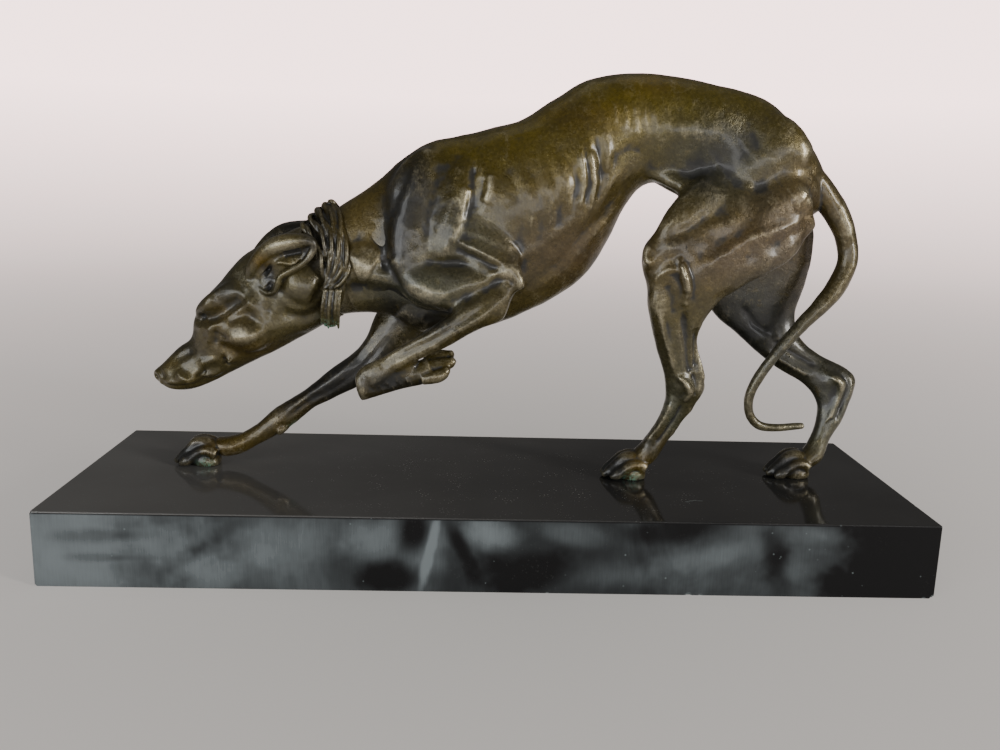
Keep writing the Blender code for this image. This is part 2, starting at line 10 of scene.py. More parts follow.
import bmesh
import bpy
import numpy as np
from bpy.props import FloatProperty, FloatVectorProperty, IntProperty, PointerProperty
from bpy.types import Operator, Panel, PropertyGroup
from mathutils import Matrix, Vector


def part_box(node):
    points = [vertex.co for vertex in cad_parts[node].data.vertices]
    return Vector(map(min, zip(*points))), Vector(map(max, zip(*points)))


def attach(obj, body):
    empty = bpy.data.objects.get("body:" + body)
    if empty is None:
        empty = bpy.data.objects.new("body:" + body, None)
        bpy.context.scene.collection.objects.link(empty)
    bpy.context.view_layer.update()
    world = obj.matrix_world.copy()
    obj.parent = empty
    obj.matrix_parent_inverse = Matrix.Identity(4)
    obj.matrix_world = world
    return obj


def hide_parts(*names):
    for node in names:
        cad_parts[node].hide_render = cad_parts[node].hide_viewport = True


bl_info = {
    "name": "Bronze greyhound",
    "version": (1, 0, 0),
    "blender": (4, 5, 0),
    "location": "View3D > Sidebar > Greyhound",
    "description": "Models a patinated bronze greyhound on a black marble plinth",
    "category": "Add Mesh",
}

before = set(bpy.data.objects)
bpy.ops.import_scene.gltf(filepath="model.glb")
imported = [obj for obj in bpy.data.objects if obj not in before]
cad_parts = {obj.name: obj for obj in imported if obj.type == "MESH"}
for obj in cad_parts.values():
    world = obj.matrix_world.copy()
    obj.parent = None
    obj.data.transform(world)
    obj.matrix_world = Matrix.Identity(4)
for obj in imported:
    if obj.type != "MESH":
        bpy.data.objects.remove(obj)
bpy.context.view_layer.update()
PLINTH_LOW, PLINTH_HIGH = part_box("plinth")
MARBLE_TOP = PLINTH_HIGH.z
STEP = 0.001                   # one step of the figure's grid, in metres
SEAT_GAP = 0.3                 # between the paws and the marble, in steps

HEAD_MASS_GRAIN = 1.1          # grain at which the head's masses are fused, in steps
BODY_MASS_GRAIN = 1.4
MASS_ROUNDS = 48.0             # softening of the fused masses, in rounds at a grain of one step
SKIN_ROUNDS = 1.6              # softening after the fine forms are fused on
LOFT_SIDES = 32
LIMB_SIDES = 18
SLIM_SIDES = 14                # toes and folds
CORD_SIDES = 8                 # cords and threads
ROWS_PER_CUT = 4               # rings laid between two given cross sections
LOFT_CAP = 0.5                 # how far the closing tip stands off the last ring, in ring spacings
LIMB_CAP = 0.6

STROKE_BREADTH = 1.45          # every stroke on the body is this much broader than it is listed
STROKE_LIFT = 0.56             # and this much lower
HEAD_BREADTH = 1.3
HEAD_LIFT = 0.85
MOUTH_BREADTH = 1.05
MOUTH_LIFT = 1.05
LEG_BREADTH = 1.05
LEG_LIFT = 1.1
STROKE_REACH = 2.4             # a modelling stroke fades out at this many widths
STROKE_ROWS = 6                # points read between two given ones of a stroke
STROKE_TAPER = 0.16            # share of a stroke's length over which it starts and ends
STROKE_END = 0.35              # share of its height that a stroke has at its ends
FACING_GAIN = 2.2              # how fast a stroke grows as the skin turns to its side
FACING_LOSS = 0.1              # taken off that, so skin seen edge on stays as it is
OWN_SIDE = (-2.0, 99.0)        # a stroke takes the skin on its own side and a little across the middle
INNER_SIDE = (-34.0, -2.0)     # strokes on the inner sides of the far legs lie beyond the middle

LATTICE = 48                   # cells of the noise lattice before it repeats
# Uneven skin in layers: cell size, height and seed
BODY_LUMPS = [(15.0, 0.5, 3), (7.0, 0.22, 5), (3.2, 0.08, 8)]
HEAD_LUMPS = [(9.0, 0.12, 4), (4.5, 0.07, 6), (2.2, 0.04, 9)]

NECK_CUT = (-117.5, 158.0)     # the head and the body meet in this plane, under the scarf
NECK_CUT_LEAN = (1.0, 0.18)    # the plane's normal, in x and z
NECK_FLOOR = 104.0             # the cut leaves alone what lies below this height
NECK_REAR = -94.0              # or behind this x

FINE_ROUNDS = 3                # rounds of smoothing that show up fine hollows and ridges
BROAD_ROUNDS = 30              # and broad ones
# Dirt in the hollows and rubbing on the ridges: growth with depth, then the most of it
FINE_DIRT = (7.0, 0.45)
BROAD_DIRT = (1.2, 1.0)
FINE_RUB = (6.0, 0.35)
BROAD_RUB = (1.0, 0.45)
SHADE_ZONE_DULLING = 0.45             # how much of each painted shade zone of dark wax counts as a dull hollow
FAR_BAND = 6.0                 # the far legs' painted shade starts within this distance of the middle

# Noise patterns: cells to the metre, detail, roughness and distortion
CLOUDS = (24.0, 5.0, 0.62, 0.5)
BLOTCHES = (95.0, 5.0, 0.66, 0.3)
SPECKLES = (420.0, 4.0, 0.7)
DENTS = (170.0, 4.0, 0.6)
GRIT = (1500.0, 2.0, 0.6)
DRIFT = (26.0, 3.0, 0.6)
DUST_PATCHES = (55.0, 3.0)
SPOT_PATCHES = (31.0, 2.0)
# Patches of the marble top's film of painted reflection
FILM_REFLECTION_PATCHES = (7.0, 3.0)
POLISH_PATCHES = (35.0, 3.0)
POLISH_GRAIN = (900.0, 2.0)
# Noise drawn out along one axis: detail, roughness and distortion, then cells to the metre and turn
BRUSHING = ((4.0, 0.7, 0.0), (1100.0, 1100.0, 80.0), (0.0, 0.25, 0.0))
MIST = ((4.0, 0.6, 0.6), (14.0, 14.0, 9.0), (0.0, 0.5, 0.0))
HAIRS = ((3.0, 0.6, 0.0), (900.0, 900.0, 60.0), (0.0, 0.1, 0.0))
SCRATCHES = ((2.0, 0.5, 0.0), (26.0, 900.0, 26.0), (0.0, 0.0, 0.4))
# Round cells to the metre
PIT_CELLS = 330.0
DUST_CELLS = 420.0
SPOT_CELLS = 110.0
NOISE_RANGE = (0.3, 0.7)       # nearly all of a noise lies between these
EVERYWHERE = 1000.0            # reach of a patch that runs on along an axis, in metres

# What a noise does to the bronze, at its low and its high end
CLOUD_TONE = (1.25, 0.75)
BLOTCH_TONE = (1.16, 0.84)
SPECKLE_TONE = (0.84, 1.16)
SPECKLE_WEAR = (-0.1, 0.1)
BRUSHED_WEAR = (-0.12, 0.12)
BLOTCH_DIRT = (-0.12, 0.16)
BLOTCH_ROUGHNESS = (-0.07, 0.1)
SPECKLE_ROUGHNESS = (-0.06, 0.08)
# Between which values a look comes on, then its share at both
GOLD_BLOTCHES = (0.42, 0.26, 0.0, 0.2)
GOLD_SPECKLES = (0.6, 0.74, 0.0, 0.25)
DARK_SPECKLES = (0.36, 0.26, 0.0, 0.28)
GREEN_SPECKLES = (0.42, 0.58, 0.0, 1.0)
RUBBED_AND_HIGHLIGHT_SHARE = (0.25, 1.0, 0.0, 0.6)
DIRT_AND_SHADE_SHARE = (0.12, 0.95, 0.0, 0.9)
PIT_DEPTH = (0.0, 0.2, 0.0, 1.0)
# How much dirt and rubbing change the metal and the roughness
DIRT_METAL = 0.3
RUBBED_METAL = 0.5
DIRT_ROUGHNESS = 0.32
RUBBED_ROUGHNESS = 0.12
# Bumps: strength, and height in metres
DENT_BUMP = (0.35, 0.0012)
SPECKLE_BUMP = (0.5, 0.0006)
BRUSHED_BUMP = (0.35, 0.0004)
GRIT_BUMP = (0.15, 0.0002)
PIT_BUMP = (0.25, 0.0003)
POLISH_BUMP = (0.04, 0.0002)
SCRATCH_BUMP = (0.05, 0.0001)

# The marble's top, front and upper edge: depths in metres between which each begins and is full
TOP_DEPTHS = (0.0012, 0.0004)
FRONT_DEPTHS = (0.004, 0.002)
EDGE_DEPTHS = (0.0010, 0.0022)
# What a noise does to the marble, at its low and its high end
SMEAR_DRIFT = (-0.3, 0.3)
HAIR_TONE = (0.93, 1.06)
# Painted reflection on the marble's top, laid as a pale film
FILM_REFLECTION_TONE = (0.02, 0.07)
POLISH_TONE = (0.05, 0.1)
# Between which values a look comes on, then its share at both
FRONT_MIST = (0.3, 0.8, -0.12, 0.25)
SIDE_MIST = (0.35, 0.75, 0.05, 0.6)
SMEAR_CONTRAST = (-0.12, 1.15, 0.0, 1.0)
SMEAR_EDGE = (1.5, 0.1)
DUST_GRAINS = (0.26, 0.12, 0.0, 1.0)
DUST_CLUMPS = (0.48, 0.66, 0.0, 1.0)
DUST_FIELD = (1.3, 0.1, 0.12, 1.0)
SPOT_DOTS = (0.09, 0.05, 0.0, 1.0)
SPOT_CLUMPS = (0.44, 0.54, 0.0, 1.0)
SPOTS_ON_TOP = (0.0, 1.0, 1.0, 0.35)
CHIP_WHITE = (1.2, 0.9, 0.0, 0.5)
SCRATCH_WHITE = (1.2, 0.6, 0.0, 0.8)
# Painted reflection: the marble's top lighter towards the left
REFLECTION_LEFTWARDS = (0.16, -0.3, 0.0, 0.27)
DUST_MIDDLE = (0.02, -0.02)    # most dust lies round here, in x and y
DUST_REACH = (0.2, 0.09)
DUST_OFF_TOP = 0.12            # share of the dust that clings to the upright faces
SPOT_STRENGTH = 0.55
SMEAR_ROUGHNESS = 0.3
DUST_ROUGHNESS = 0.4

CHIP_SEED = 12
CHIP_UNEVEN = (0.8, 1.2)       # a chip's surface varies between these shares of its radius
PATINA_NAME = "mottled_patina"
WAX_COAT = 0.5                 # how much clear wax lies over the patina
WAX_ROUGHNESS = 0.18
MARBLE_SHEEN = 0.26            # specular level of the marble's polish

FLOOR_RADIUS = 1.3
BOWL_RADIUS = 3.4
BOWL_BEND = 1.2
BOWL_HEIGHT = 3.2
BOWL_STEPS = 12
BOWL_SIDES = 96
PAPER_SPREAD = 0.17            # how much a metre outwards counts against a metre up
PAPER_RISE = 1.1               # height at which the paper is lightest
PAPER_ROUGHNESS = 0.9
PAPER_SHEEN = 0.1
# Soft lights: name, place, aim, breadth and height, colour
LIGHTS = [
    ("key", (2.25, -1.5, 0.75), (0.05, 0, 0.2), (0.4, 1.1), (1.0, 0.97, 0.93)),
    ("fill", (-1.75, -2.15, 0.55), (-0.05, 0, 0.15), (1.6, 1.3), (0.94, 0.97, 1.0)),
    ("top", (0.0, 0.2, 1.7), (0, 0, 0.1), (1.4, 0.8), (1.0, 0.98, 0.97)),
    ("low", (0.1, -2.6, 0.2), (0, 0, 0.14), (3.2, 0.45), (0.97, 0.97, 1.0)),
]
CAMERA_PLACE = (-0.01554, -0.6944, 0.2743)
CAMERA_TURN = (-0.0303, -0.2083, -0.0270)      # yaw, pitch and roll
SENSOR_WIDTH = 36.0
CLIP_START = 0.01

# Cross sections: top x, top z, bottom x, bottom z, middle y, half width, fuller above (+) or below (-)
TRUNK = [
    (-131, 184, -125, 115, 0, 19, 0.0),
    (-104, 201.5, -104, 119, 0, 20, 0.0),
    (-87, 213, -86, 120, 0, 21, -0.1),
    (-69, 229.5, -66, 116, 0, 24, -0.15),
    (-51, 241.5, -42, 108, 0, 27, -0.1),
    (-30, 247, -9, 110.5, 0, 31, 0.0),
    (-6, 253, 20, 121.5, 0, 33, 0.1),
    (15, 259, 45, 134.5, 0, 33, 0.15),
    (35, 271.5, 67, 153, 0, 31, 0.15),
    (55, 284.5, 81, 177, 0, 28, 0.15),
    (76, 291.5, 93, 203, 0, 24, 0.15),
    (98, 293, 106, 217, 0, 22, 0.15),
    (119, 292, 124, 215, 0, 22, 0.15),
    (140, 289, 147, 206, 0, 23, 0.1),
    (165, 284.5, 171, 192, 0, 24, 0.0),
    (187, 277.5, 194, 188, 0, 24, 0.0),
    (207, 262.5, 212, 190, 0, 21, 0.0),
    (222, 248, 224, 196, 0, 15, 0.0),
    (233, 231, 233, 200, 0, 8, 0.0),
]
HEAD = [
    (-250, 73.5, -248, 67, 0, 5, 0.0),
    (-243, 79, -238, 60.3, 0, 8, 0.1),
    (-230, 92, -223, 59.3, 0, 10.5, 0.0),
    (-220, 99.5, -207, 65.2, 0, 12, -0.1),
    (-217.5, 114, -192, 73.2, 0, 15, 0.0),
    (-208, 130, -177, 81, 0, 18.5, 0.0),
    (-197.5, 141, -160, 89.5, 0, 20.5, 0.0),
    (-181, 160, -142, 99.5, 0, 21.5, 0.0),
    (-158, 173, -129, 107, 0, 21.5, 0.0),
    (-137, 183, -120, 112, 0, 20, 0.0),
]
RAISED_FORELEG = [
    (14, 152, 6, 121, -34, 8, 0.0),
    (-11, 140, -12, 114, -36, 10, 0.0),
    (-30, 127, -31, 103, -37, 9.5, 0.0),
    (-48, 114, -41, 98, -37, 8.5, 0.0),
    (-65, 103, -58, 90, -35, 7, 0.0),
    (-81, 93, -73, 80, -33, 6.5, 0.0),
    (-94, 86, -84, 69, -32, 7, 0.0),
    (-99, 79, -91, 62, -32, 6.5, 0.0),
]
FOLDED_PASTERN = [
    (-97, 80, -94, 60, -32, 5.5, 0.0),
    (-82, 81, -82, 64.5, -31, 6.5, 0.0),
    (-68, 90, -66, 69.5, -30, 8, 0.0),
    (-55, 94, -52, 73, -29, 9, 0.0),
]
REACHING_FORELEG = [
    (-58, 150, -24, 110, 20, 10, 0.0),
    (-86, 122, -50, 93, 21, 11, 0.0),
    (-97, 97, -71, 75, 20, 10, 0.0),
    (-109, 84, -91, 65, 19, 8.5, 0.0),
    (-124, 73, -111, 55, 18, 7.5, 0.0),
    (-144, 56.5, -133, 43.5, 16, 6.5, 0.0),
    (-164, 44, -151, 30, 14, 7, 0.0),
    (-174, 35, -161, 23, 13, 7, 0.0),
    (-185, 27, -177, 14, 12, 7, 0.0),
    (-198, 22, -190, 7, 11, 8.5, 0.0),
    (-210, 21, -203, 5, 10.5, 9, 0.0),
]
NEAR_HINDLEG = [
    (150, 236, 204, 206, -4, 12, 0.0),
    (138.5, 214, 221, 194, -15, 15, 0.0),
    (122, 194, 209, 168, -21, 15, 0.0),
    (104, 178, 182, 152, -24, 14, 0.0),
    (101, 163, 160, 137, -24, 12, 0.0),
    (106, 146, 149, 121, -23, 10.5, 0.0),
    (110.5, 122, 146, 110, -21, 9, 0.0),
    (116, 102, 147, 97, -19, 8, 0.0),
    (122.5, 85, 151, 82, -17, 7.5, 0.0),
    (125.5, 73, 156, 72, -15, 8, 0.0),
    (126, 60, 149, 59, -13, 7, 0.0),
    (122, 48, 141, 46, -11, 7, 0.0),
    (114, 32, 132, 29, -8, 7, 0.0),
    (106, 21, 123, 13, -6, 8.5, 0.0),
    (99, 17, 112, 5, -5, 9, 0.0),
]
FAR_HINDLEG = [
    (160, 232, 214, 206, 4, 12, 0.0),
    (150, 205, 234, 192, 14, 15, 0.0),
    (152, 172, 238, 172, 19, 15, 0.0),
    (156, 140, 235, 147, 20, 13, 0.0),
    (167, 121, 229, 125, 20, 11, 0.0),
    (187, 105, 231, 112.5, 19, 9, 0.0),
    (206, 89, 236.5, 104, 18, 8, 0.0),
    (222, 78, 252, 92, 16, 7.5, 0.0),
    (236, 71, 269, 85, 14, 7.5, 0.0),
    (245, 62, 278, 76, 12, 8, 0.0),
    (248, 54, 274, 58, 10, 7, 0.0),
    (247, 42, 269, 45, 8, 7, 0.0),
    (243, 28, 260, 29, 6, 7, 0.0),
    (236, 19, 253, 12, 4, 8.5, 0.0),
    (226, 16, 241, 5, 5, 9, 0.0),
]
LOFTS = [TRUNK, HEAD, RAISED_FORELEG, FOLDED_PASTERN, REACHING_FORELEG, NEAR_HINDLEG, FAR_HINDLEG]

# Round forms along a line: each point is x, y, z and radius
TAIL = [
    (220, 0, 226, 12), (230, 0, 217.5, 10.6), (238.5, 0, 208.5, 9.6), (245.5, -1, 199, 8.9),
    (251, -2, 188.5, 8.1),
    (254.8, -2, 177, 7.5), (255.7, -3, 166, 7.2), (252.8, -4, 156, 7), (246.5, -5, 144, 7),
    (236.5, -7, 132, 6.3),
    (225.5, -8, 120, 5.3), (214, -9, 106, 4.6), (203, -9, 91, 4.2), (195, -8, 77, 3.9),
    (190.5, -7, 62.5, 3.7),
    (193, -6, 50, 3.4), (200, -5, 42.5, 3.3), (209, -4, 40.3, 3.2), (219, -3, 40.3, 3), (228, -2, 41, 2.6),
    (235, -2, 41.5, 2),
]

# Muscles: how flat (sideways share of the radius), then the points of the line
BOTH_SIDES = [
    (0.8, [(-112, 14, 142, 7), (-96, 17, 151, 9), (-82, 19, 148, 9), (-70, 21, 148, 7)]),
    (1.0, [(-112, 3, 124, 6), (-90, 4, 130, 8), (-72, 6, 128, 8)]),
    (1.3, [(-76, 0, 146, 13), (-64, 0, 129, 14), (-45, 0, 117, 13)]),
    (0.6, [(172, 9, 259, 15), (194, 12, 247, 20), (210, 13, 233, 16)]),
    (0.75, [(197, 15, 200, 12), (206, 16, 207, 15), (214, 15, 214, 14.5)]),
    (0.7, [(-110, 14, 160, 8), (-96, 17.5, 162, 11), (-80, 19, 160, 11)]),
    (0.7, [(108, 9, 225, 5), (126, 14, 219, 7), (144, 16, 210, 8)]),
]
NEAR_SIDE = [
    (0.6, [(-43, -10, 232, 12), (-54, -15, 216, 18), (-59, -18, 192, 20), (-61, -21, 170, 18),
           (-60, -24, 154, 14)]),
    (0.5, [(-16, -14, 234, 12), (-24, -20, 212, 17), (-30, -23, 187, 20), (-30, -25, 164, 19)]),
    (0.6, [(-65, -22, 156, 12), (-52, -25, 145, 16), (-30, -27, 142, 17), (-8, -30, 144, 15),
           (8, -33, 145, 10)]),
    (0.5, [(-24, -25, 178, 15), (-8, -28, 170, 17), (4, -32, 160, 14), (13, -35, 150, 8)]),
    (0.9, [(4, -36, 150, 6), (13, -37, 151, 5.5), (16, -36, 144, 5.5)]),
    (0.55, [(213, -17, 214, 13), (198, -21, 204, 17), (178, -24, 191, 18), (158, -26, 172, 16),
            (147, -26, 155, 11)]),
    (0.6, [(219, -15, 199, 12), (200, -19, 182, 13), (172, -21, 168, 15), (149, -22, 150, 11)]),
    (0.6, [(157, -14, 224, 13), (145, -20, 206, 18), (129, -24, 187, 17), (114, -26, 169, 11)]),
    (0.9, [(110, -27, 172, 6.5), (109, -28, 161, 7)]),
    (0.6, [(138, -25, 156, 10), (138, -25, 138, 11), (138, -22, 120, 8), (142, -19, 100, 4.5)]),
    (0.7, [(117, -27, 152, 9), (117, -26, 132, 9.5), (122, -22, 110, 6.5), (130, -18, 88, 5)]),
    (1.0, [(141, -22, 124, 3.5), (145, -19, 100, 3), (151, -16, 80, 3.8)]),
    (0.9, [(134, -20, 78, 5.5), (142, -19, 73, 7.5), (146, -18, 68, 6)]),
]
FAR_SIDE = [
    (0.6, [(-54, 9, 230, 9), (-63, 13, 214, 14), (-69, 18, 192, 17), (-73, 21, 170, 15),
           (-74, 23, 156, 12)]),
    (0.5, [(-28, 13, 232, 12), (-36, 19, 212, 16), (-42, 22, 187, 18), (-42, 24, 164, 17)]),
    (0.6, [(-74, 22, 156, 11), (-66, 25, 142, 14), (-54, 25, 128, 14), (-44, 24, 116, 12)]),
    (0.55, [(-34, 24, 172, 14), (-32, 26, 150, 15), (-38, 25, 128, 12)]),
    (0.55, [(214, 17, 212, 12), (212, 21, 198, 16), (208, 24, 176, 17), (204, 24, 152, 14),
            (204, 22, 134, 10)]),
    (0.6, [(178, 14, 224, 14), (174, 20, 200, 18), (170, 23, 170, 17), (170, 23, 144, 11)]),
    (0.65, [(200, 22, 136, 9), (210, 21, 116, 9), (226, 18, 100, 6.5), (246, 15, 86, 4)]),
    (1.0, [(231, 18, 102, 3), (249, 16, 90, 3), (265, 13, 80, 3.8)]),
    (0.9, [(252, 9, 73, 5.5), (262, 8, 75, 7), (267, 8, 69, 6)]),
]

# Head forms, mirrored to both sides
FACE = [
    (0.7, [(-198, 12, 112, 8), (-184, 15, 106, 13), (-172, 16, 106, 14), (-162, 15, 110, 9)]),
    (0.9, [(-212, 7, 117, 5), (-205, 12, 123, 7), (-194, 14, 130, 8), (-180, 14, 138, 8)]),
    (0.72, [(-146, 15, 147, 15), (-136, 16.5, 141, 15.5), (-127, 17, 137, 13)]),
    (1.0, [(-192, 12, 87, 4.5), (-186, 12, 86, 4.5)]),
    (1.0, [(-239, 5.5, 67, 5), (-229, 7, 67, 6.5), (-217, 8, 72, 6), (-206, 9, 77, 5)]),
]
EAR = [
    (0.3, [(-170, 16, 148, 9), (-160, 20, 153, 12), (-148, 23, 163, 12), (-136, 25, 168, 8.5),
           (-128, 26, 172, 4.5)]),
    (0.35, [(-162, 19, 146, 6), (-157, 21, 141, 6), (-155, 21, 138, 4)]),
]
EAR_RIM_FLAT = 0.9
EAR_RIM = [
    (-173, 13, 144, 4.4), (-169.5, 17, 152.5, 5.6), (-161, 21, 162.5, 6.6), (-151, 24, 169, 7.0),
    (-139, 26.5, 172, 6.0), (-130, 28, 173, 4.4), (-126, 28, 169.5, 3.0), (-128.4, 28, 163, 2.5),
    (-135.2, 28, 155.8, 2.3), (-143.3, 28, 151.5, 2.3), (-149.8, 27, 147.3, 2.3), (-152, 26, 141.6, 2.3),
    (-155, 24, 137, 2.3), (-161, 21, 136, 2.4), (-168, 17, 139, 3.0),
]
FAR_EAR_LIFT = (-4, 6)         # the far ear stands this much further forward and up

# The raised forepaw, its toes curled with the pads turned back and up: flat, then x, y, z, radius
RAISED_PAW = [
    (1.1, [(-62, -30, 79, 7.5), (-52, -29, 82, 8.5), (-44, -29, 86, 8)]),
    (1.0, [(-50, -35, 79, 4.6), (-42, -36, 80.5, 4.8), (-36, -36, 83, 4.4), (-32, -35, 87, 3)]),
    (1.0, [(-48, -31, 86, 5), (-38, -31, 88, 5), (-31, -31, 90, 4.2), (-28, -31, 93, 2.6)]),
    (1.0, [(-48, -26, 90, 5), (-40, -25, 93, 5), (-33, -25, 94, 4.2), (-29, -26, 96, 2.6)]),
    (1.0, [(-50, -22, 84, 5), (-42, -21, 86, 5), (-35, -21, 88, 4.4), (-32, -22, 91, 2.8)]),
]
DEWCLAW = [(-156, 12, 31, 3.5), (-160, 10, 27, 3.5), (-162, 9, 25.5, 2.2)]

# Scarf: folds of cloth round the neck, twisted cords over them and a fringed end that hangs down
SCARF_MIDDLE = (-119.5, 156)
SCARF_HALF_HEIGHT = 36
SCARF_HALF_WIDTH = 21
# Each fold: its place across the loop, its radius and where its winding starts
SCARF_FOLDS = [
    (-9.5, 2.0, 0.0), (-6, 2.2, 1.2), (-2.5, 2.2, 2.4), (1, 2.2, 0.7), (4.5, 2.0, 1.9),
]
SCARF_STEPS = 24               # points of each fold
SCARF_GATHER = 0.45            # share of their spacing that the folds keep at the knot
SCARF_SWAY = 0.035             # how much each fold winds in and out
SCARF_BOW = 10                 # how far the folds swing back half way down the neck
SCARF_LEAN = 3                 # how far the loop's top lies in front of its middle
NECK_RISE = 0.6                # climb of the neck's upper line under the loop
SCARF_FLAT = 0.8               # thickness of a fold as a share of its breadth
SCARF_ROWS = 3
SCARF_STAND = (0.5, 0.4)       # share of its radius that a fold stands off the neck, beside and above it
SCARF_END_FLAT = 0.35
SCARF_END = [(-113.5, -21, 141, 6.2), (-115.5, -21, 132, 6.2), (-117, -19, 121, 5.8), (-117.5, -15, 112, 4.4)]
# Cords on the near side, from the top of the neck to the knot, as x and z, mirrored on the far side
SCARF_CORDS = [
    [(-116.5, 197), (-109.6, 187), (-105.7, 171.5), (-103.6, 155.5), (-108.4, 144), (-115, 137)],
    [(-120.6, 195), (-113.6, 184), (-109.9, 170), (-108.6, 155.5), (-112.5, 144.5), (-117, 137)],
    [(-125.2, 191.5), (-117.8, 180.7), (-113.6, 166.5), (-112.4, 154), (-114.6, 144.5), (-118, 137)],
    [(-130, 187), (-122.4, 178), (-117.6, 164.8), (-115.8, 152.5), (-116.6, 143.5), (-119.5, 136.5)],
    [(-134, 182), (-127.4, 172), (-122, 160), (-119.4, 149), (-119, 141), (-121, 135.5)],
]
CORD_RADIUS = 1.55
CORD_TWIST = 1.35              # how far the two cords of a pair wind off their middle line
CORD_TURNS = 5
CORD_POINTS = 56
CORD_ROWS = 2
CORD_STAND = (2.6, 3.5)        # how far the cords stand off the neck, beside and above it
CORD_TOP_SHIFT = (-2, 1)       # from a cord's first point to where it crosses the nape, in x and z
CORD_FOOT_SHIFT = (3, -2)      # to where it passes under the throat: from its last point, and below the loop
FRINGE_COUNT = 6               # threads
FRINGE_TOP = (-108.5, -26, 139)
FRINGE_FOOT = (-110.5, -21.5, 112)
FRINGE_STEP = (-2.1, -2.35)    # from one thread to the next, at the top and at the foot
FRINGE_WAVE = 1.3              # every second thread stands out this far
FRINGE_BOW = 0.8               # how far a thread bows out half way down
FRINGE_UNEVEN = 1.6            # threads differ in length by one or two of these
FRINGE_RADII = (1.5, 1.35, 0.9)

# Paws: toe tip x, middle y, height scale of each
PAWS = [(-238, 10, 1.0), (84, -5, 0.95), (211, 5, 0.95)]
# One toe from its root to its claw: x behind the tip, z, radius
MIDDLE_TOE = [(29, 13, 6), (23, 17, 5.4), (16, 16.5, 4.7), (10, 10.5, 4.3), (5, 5.5, 4.3), (0, 2.6, 2.0)]
OUTER_TOE = [(31, 9.5, 5), (26, 12, 4.8), (20, 11.5, 4.2), (14, 7.5, 4.0), (9.5, 4.5, 4.2), (5, 2.3, 1.9)]
TOE_SPREAD = 4.0               # middle toes off the paw's middle line
OUTER_SPREAD = 10.0
PAD = [(32, 4, 5.5), (26, 4, 8), (19, 4.5, 8), (12, 4.5, 5)]
PAD_BREADTH = 1.35
TOE_SPLAY = 0.4                # share of a toe's spread that it gains on the way to its claw

# Modelling strokes, seen from one side: width, height (below zero it is a groove), then x and z along it
HEAD_STROKES = [
    # brow, cheekbone and temple
    (2.6, 2.2, [(-213, 110), (-208, 108.5), (-203, 109.2), (-195, 113), (-188, 118), (-181.7, 121.6),
                (-172, 126)]),
    (3.6, 1.9, [(-179, 133), (-171, 127), (-164, 117), (-158, 110.8), (-151, 112), (-139, 116.3)]),
    (3.0, -2.8, [(-207, 115.5), (-200, 116), (-192, 120), (-183, 127), (-176, 132)]),
    (3.0, 1.7, [(-206, 119), (-202.7, 128), (-197.5, 136), (-189, 146), (-180.7, 153.7)]),
    (7.0, -2.4, [(-197, 126), (-187, 136), (-178, 143)]),
    (4.5, 1.6, [(-181, 134), (-170, 129)]),
    (3.0, -1.5, [(-193, 114), (-183, 119), (-175, 120.5), (-169, 113)]),
    (2.4, -1.2, [(-160, 120), (-157, 128), (-156, 134)]),
    (1.8, 0.9, [(-157, 136), (-156.5, 128), (-154, 119)]),
    # eye
    (2.2, -2.8, [(-209.5, 114.5), (-206, 117.5)]),
    (2.0, 1.9, [(-201, 109), (-202.5, 104), (-204.5, 97)]),
    (1.8, -1.5, [(-197.5, 108), (-198, 103), (-199, 97)]),
    (1.3, -1.9, [(-195.5, 104.4), (-192, 102.9), (-190, 102.9)]),
    # cheek and jaw
    (3.0, -2.0, [(-198, 97), (-190, 95), (-182, 93.6), (-170.5, 97), (-158.8, 104)]),
    (3.4, 1.0, [(-189, 101), (-178, 103), (-166, 106)]),
    (2.6, 1.1, [(-178, 90.5), (-161, 101), (-148, 107), (-134.8, 110.7), (-125, 116)]),
    (2.2, -0.9, [(-170, 88), (-156, 96), (-144, 102), (-134, 105)]),
    (2.4, 1.9, [(-150, 131), (-143.2, 126), (-136, 124.6), (-130.2, 126), (-124, 132), (-121.5, 139)]),
    (2.8, -1.7, [(-150, 121), (-142, 119), (-134, 119), (-126, 122), (-121, 129)]),
    (2.8, -1.3, [(-151, 134), (-149, 141), (-147, 147)]),
]
# The mouth and the nose, carved more crisply
MOUTH_STROKES = [
    (1.5, -2.2, [(-194, 88), (-193.5, 85.3), (-192, 82), (-188.7, 81.2)]),
    (2.0, 1.7, [(-190.6, 85.4), (-189, 83.8)]),
    (2.2, -2.6, [(-206.7, 77.5), (-211, 73.5), (-214, 69)]),
    (3.0, 1.9, [(-229, 76), (-224, 71), (-217.5, 69)]),
    (2.4, 1.4, [(-212, 82), (-205, 84), (-199, 86)]),
    (1.5, -1.7, [(-243, 67), (-234, 64.3), (-224, 64.6), (-214.3, 66.3), (-207.5, 70.2), (-202.5, 69.8),
                 (-195.7, 74.2)]),
    (2.2, 1.4, [(-208.5, 74), (-203, 73.4), (-197, 77)]),
    (3.6, -1.4, [(-235, 81), (-226, 86), (-216, 92)]),
    (1.3, -2.2, [(-249, 72.3), (-246, 70.2), (-245, 68)]),
    (1.4, 1.0, [(-243, 67), (-241, 65)]),
    (1.4, -1.0, [(-244, 76), (-240.5, 73), (-239, 69)]),
]
EAR_STROKES = [
    (4.0, -5.6, [(-161, 152), (-159.7, 150.9), (-158, 149.8)]),
    (3.6, -2.6, [(-160, 142), (-158.3, 140.5), (-157, 139.5)]),
    (2.2, -3.2, [(-148, 161.8), (-143.4, 162.8), (-138, 164), (-134, 165)]),
    (1.8, 1.5, [(-153, 157), (-148, 157.5), (-142, 156.5), (-137.5, 158.5)]),
]
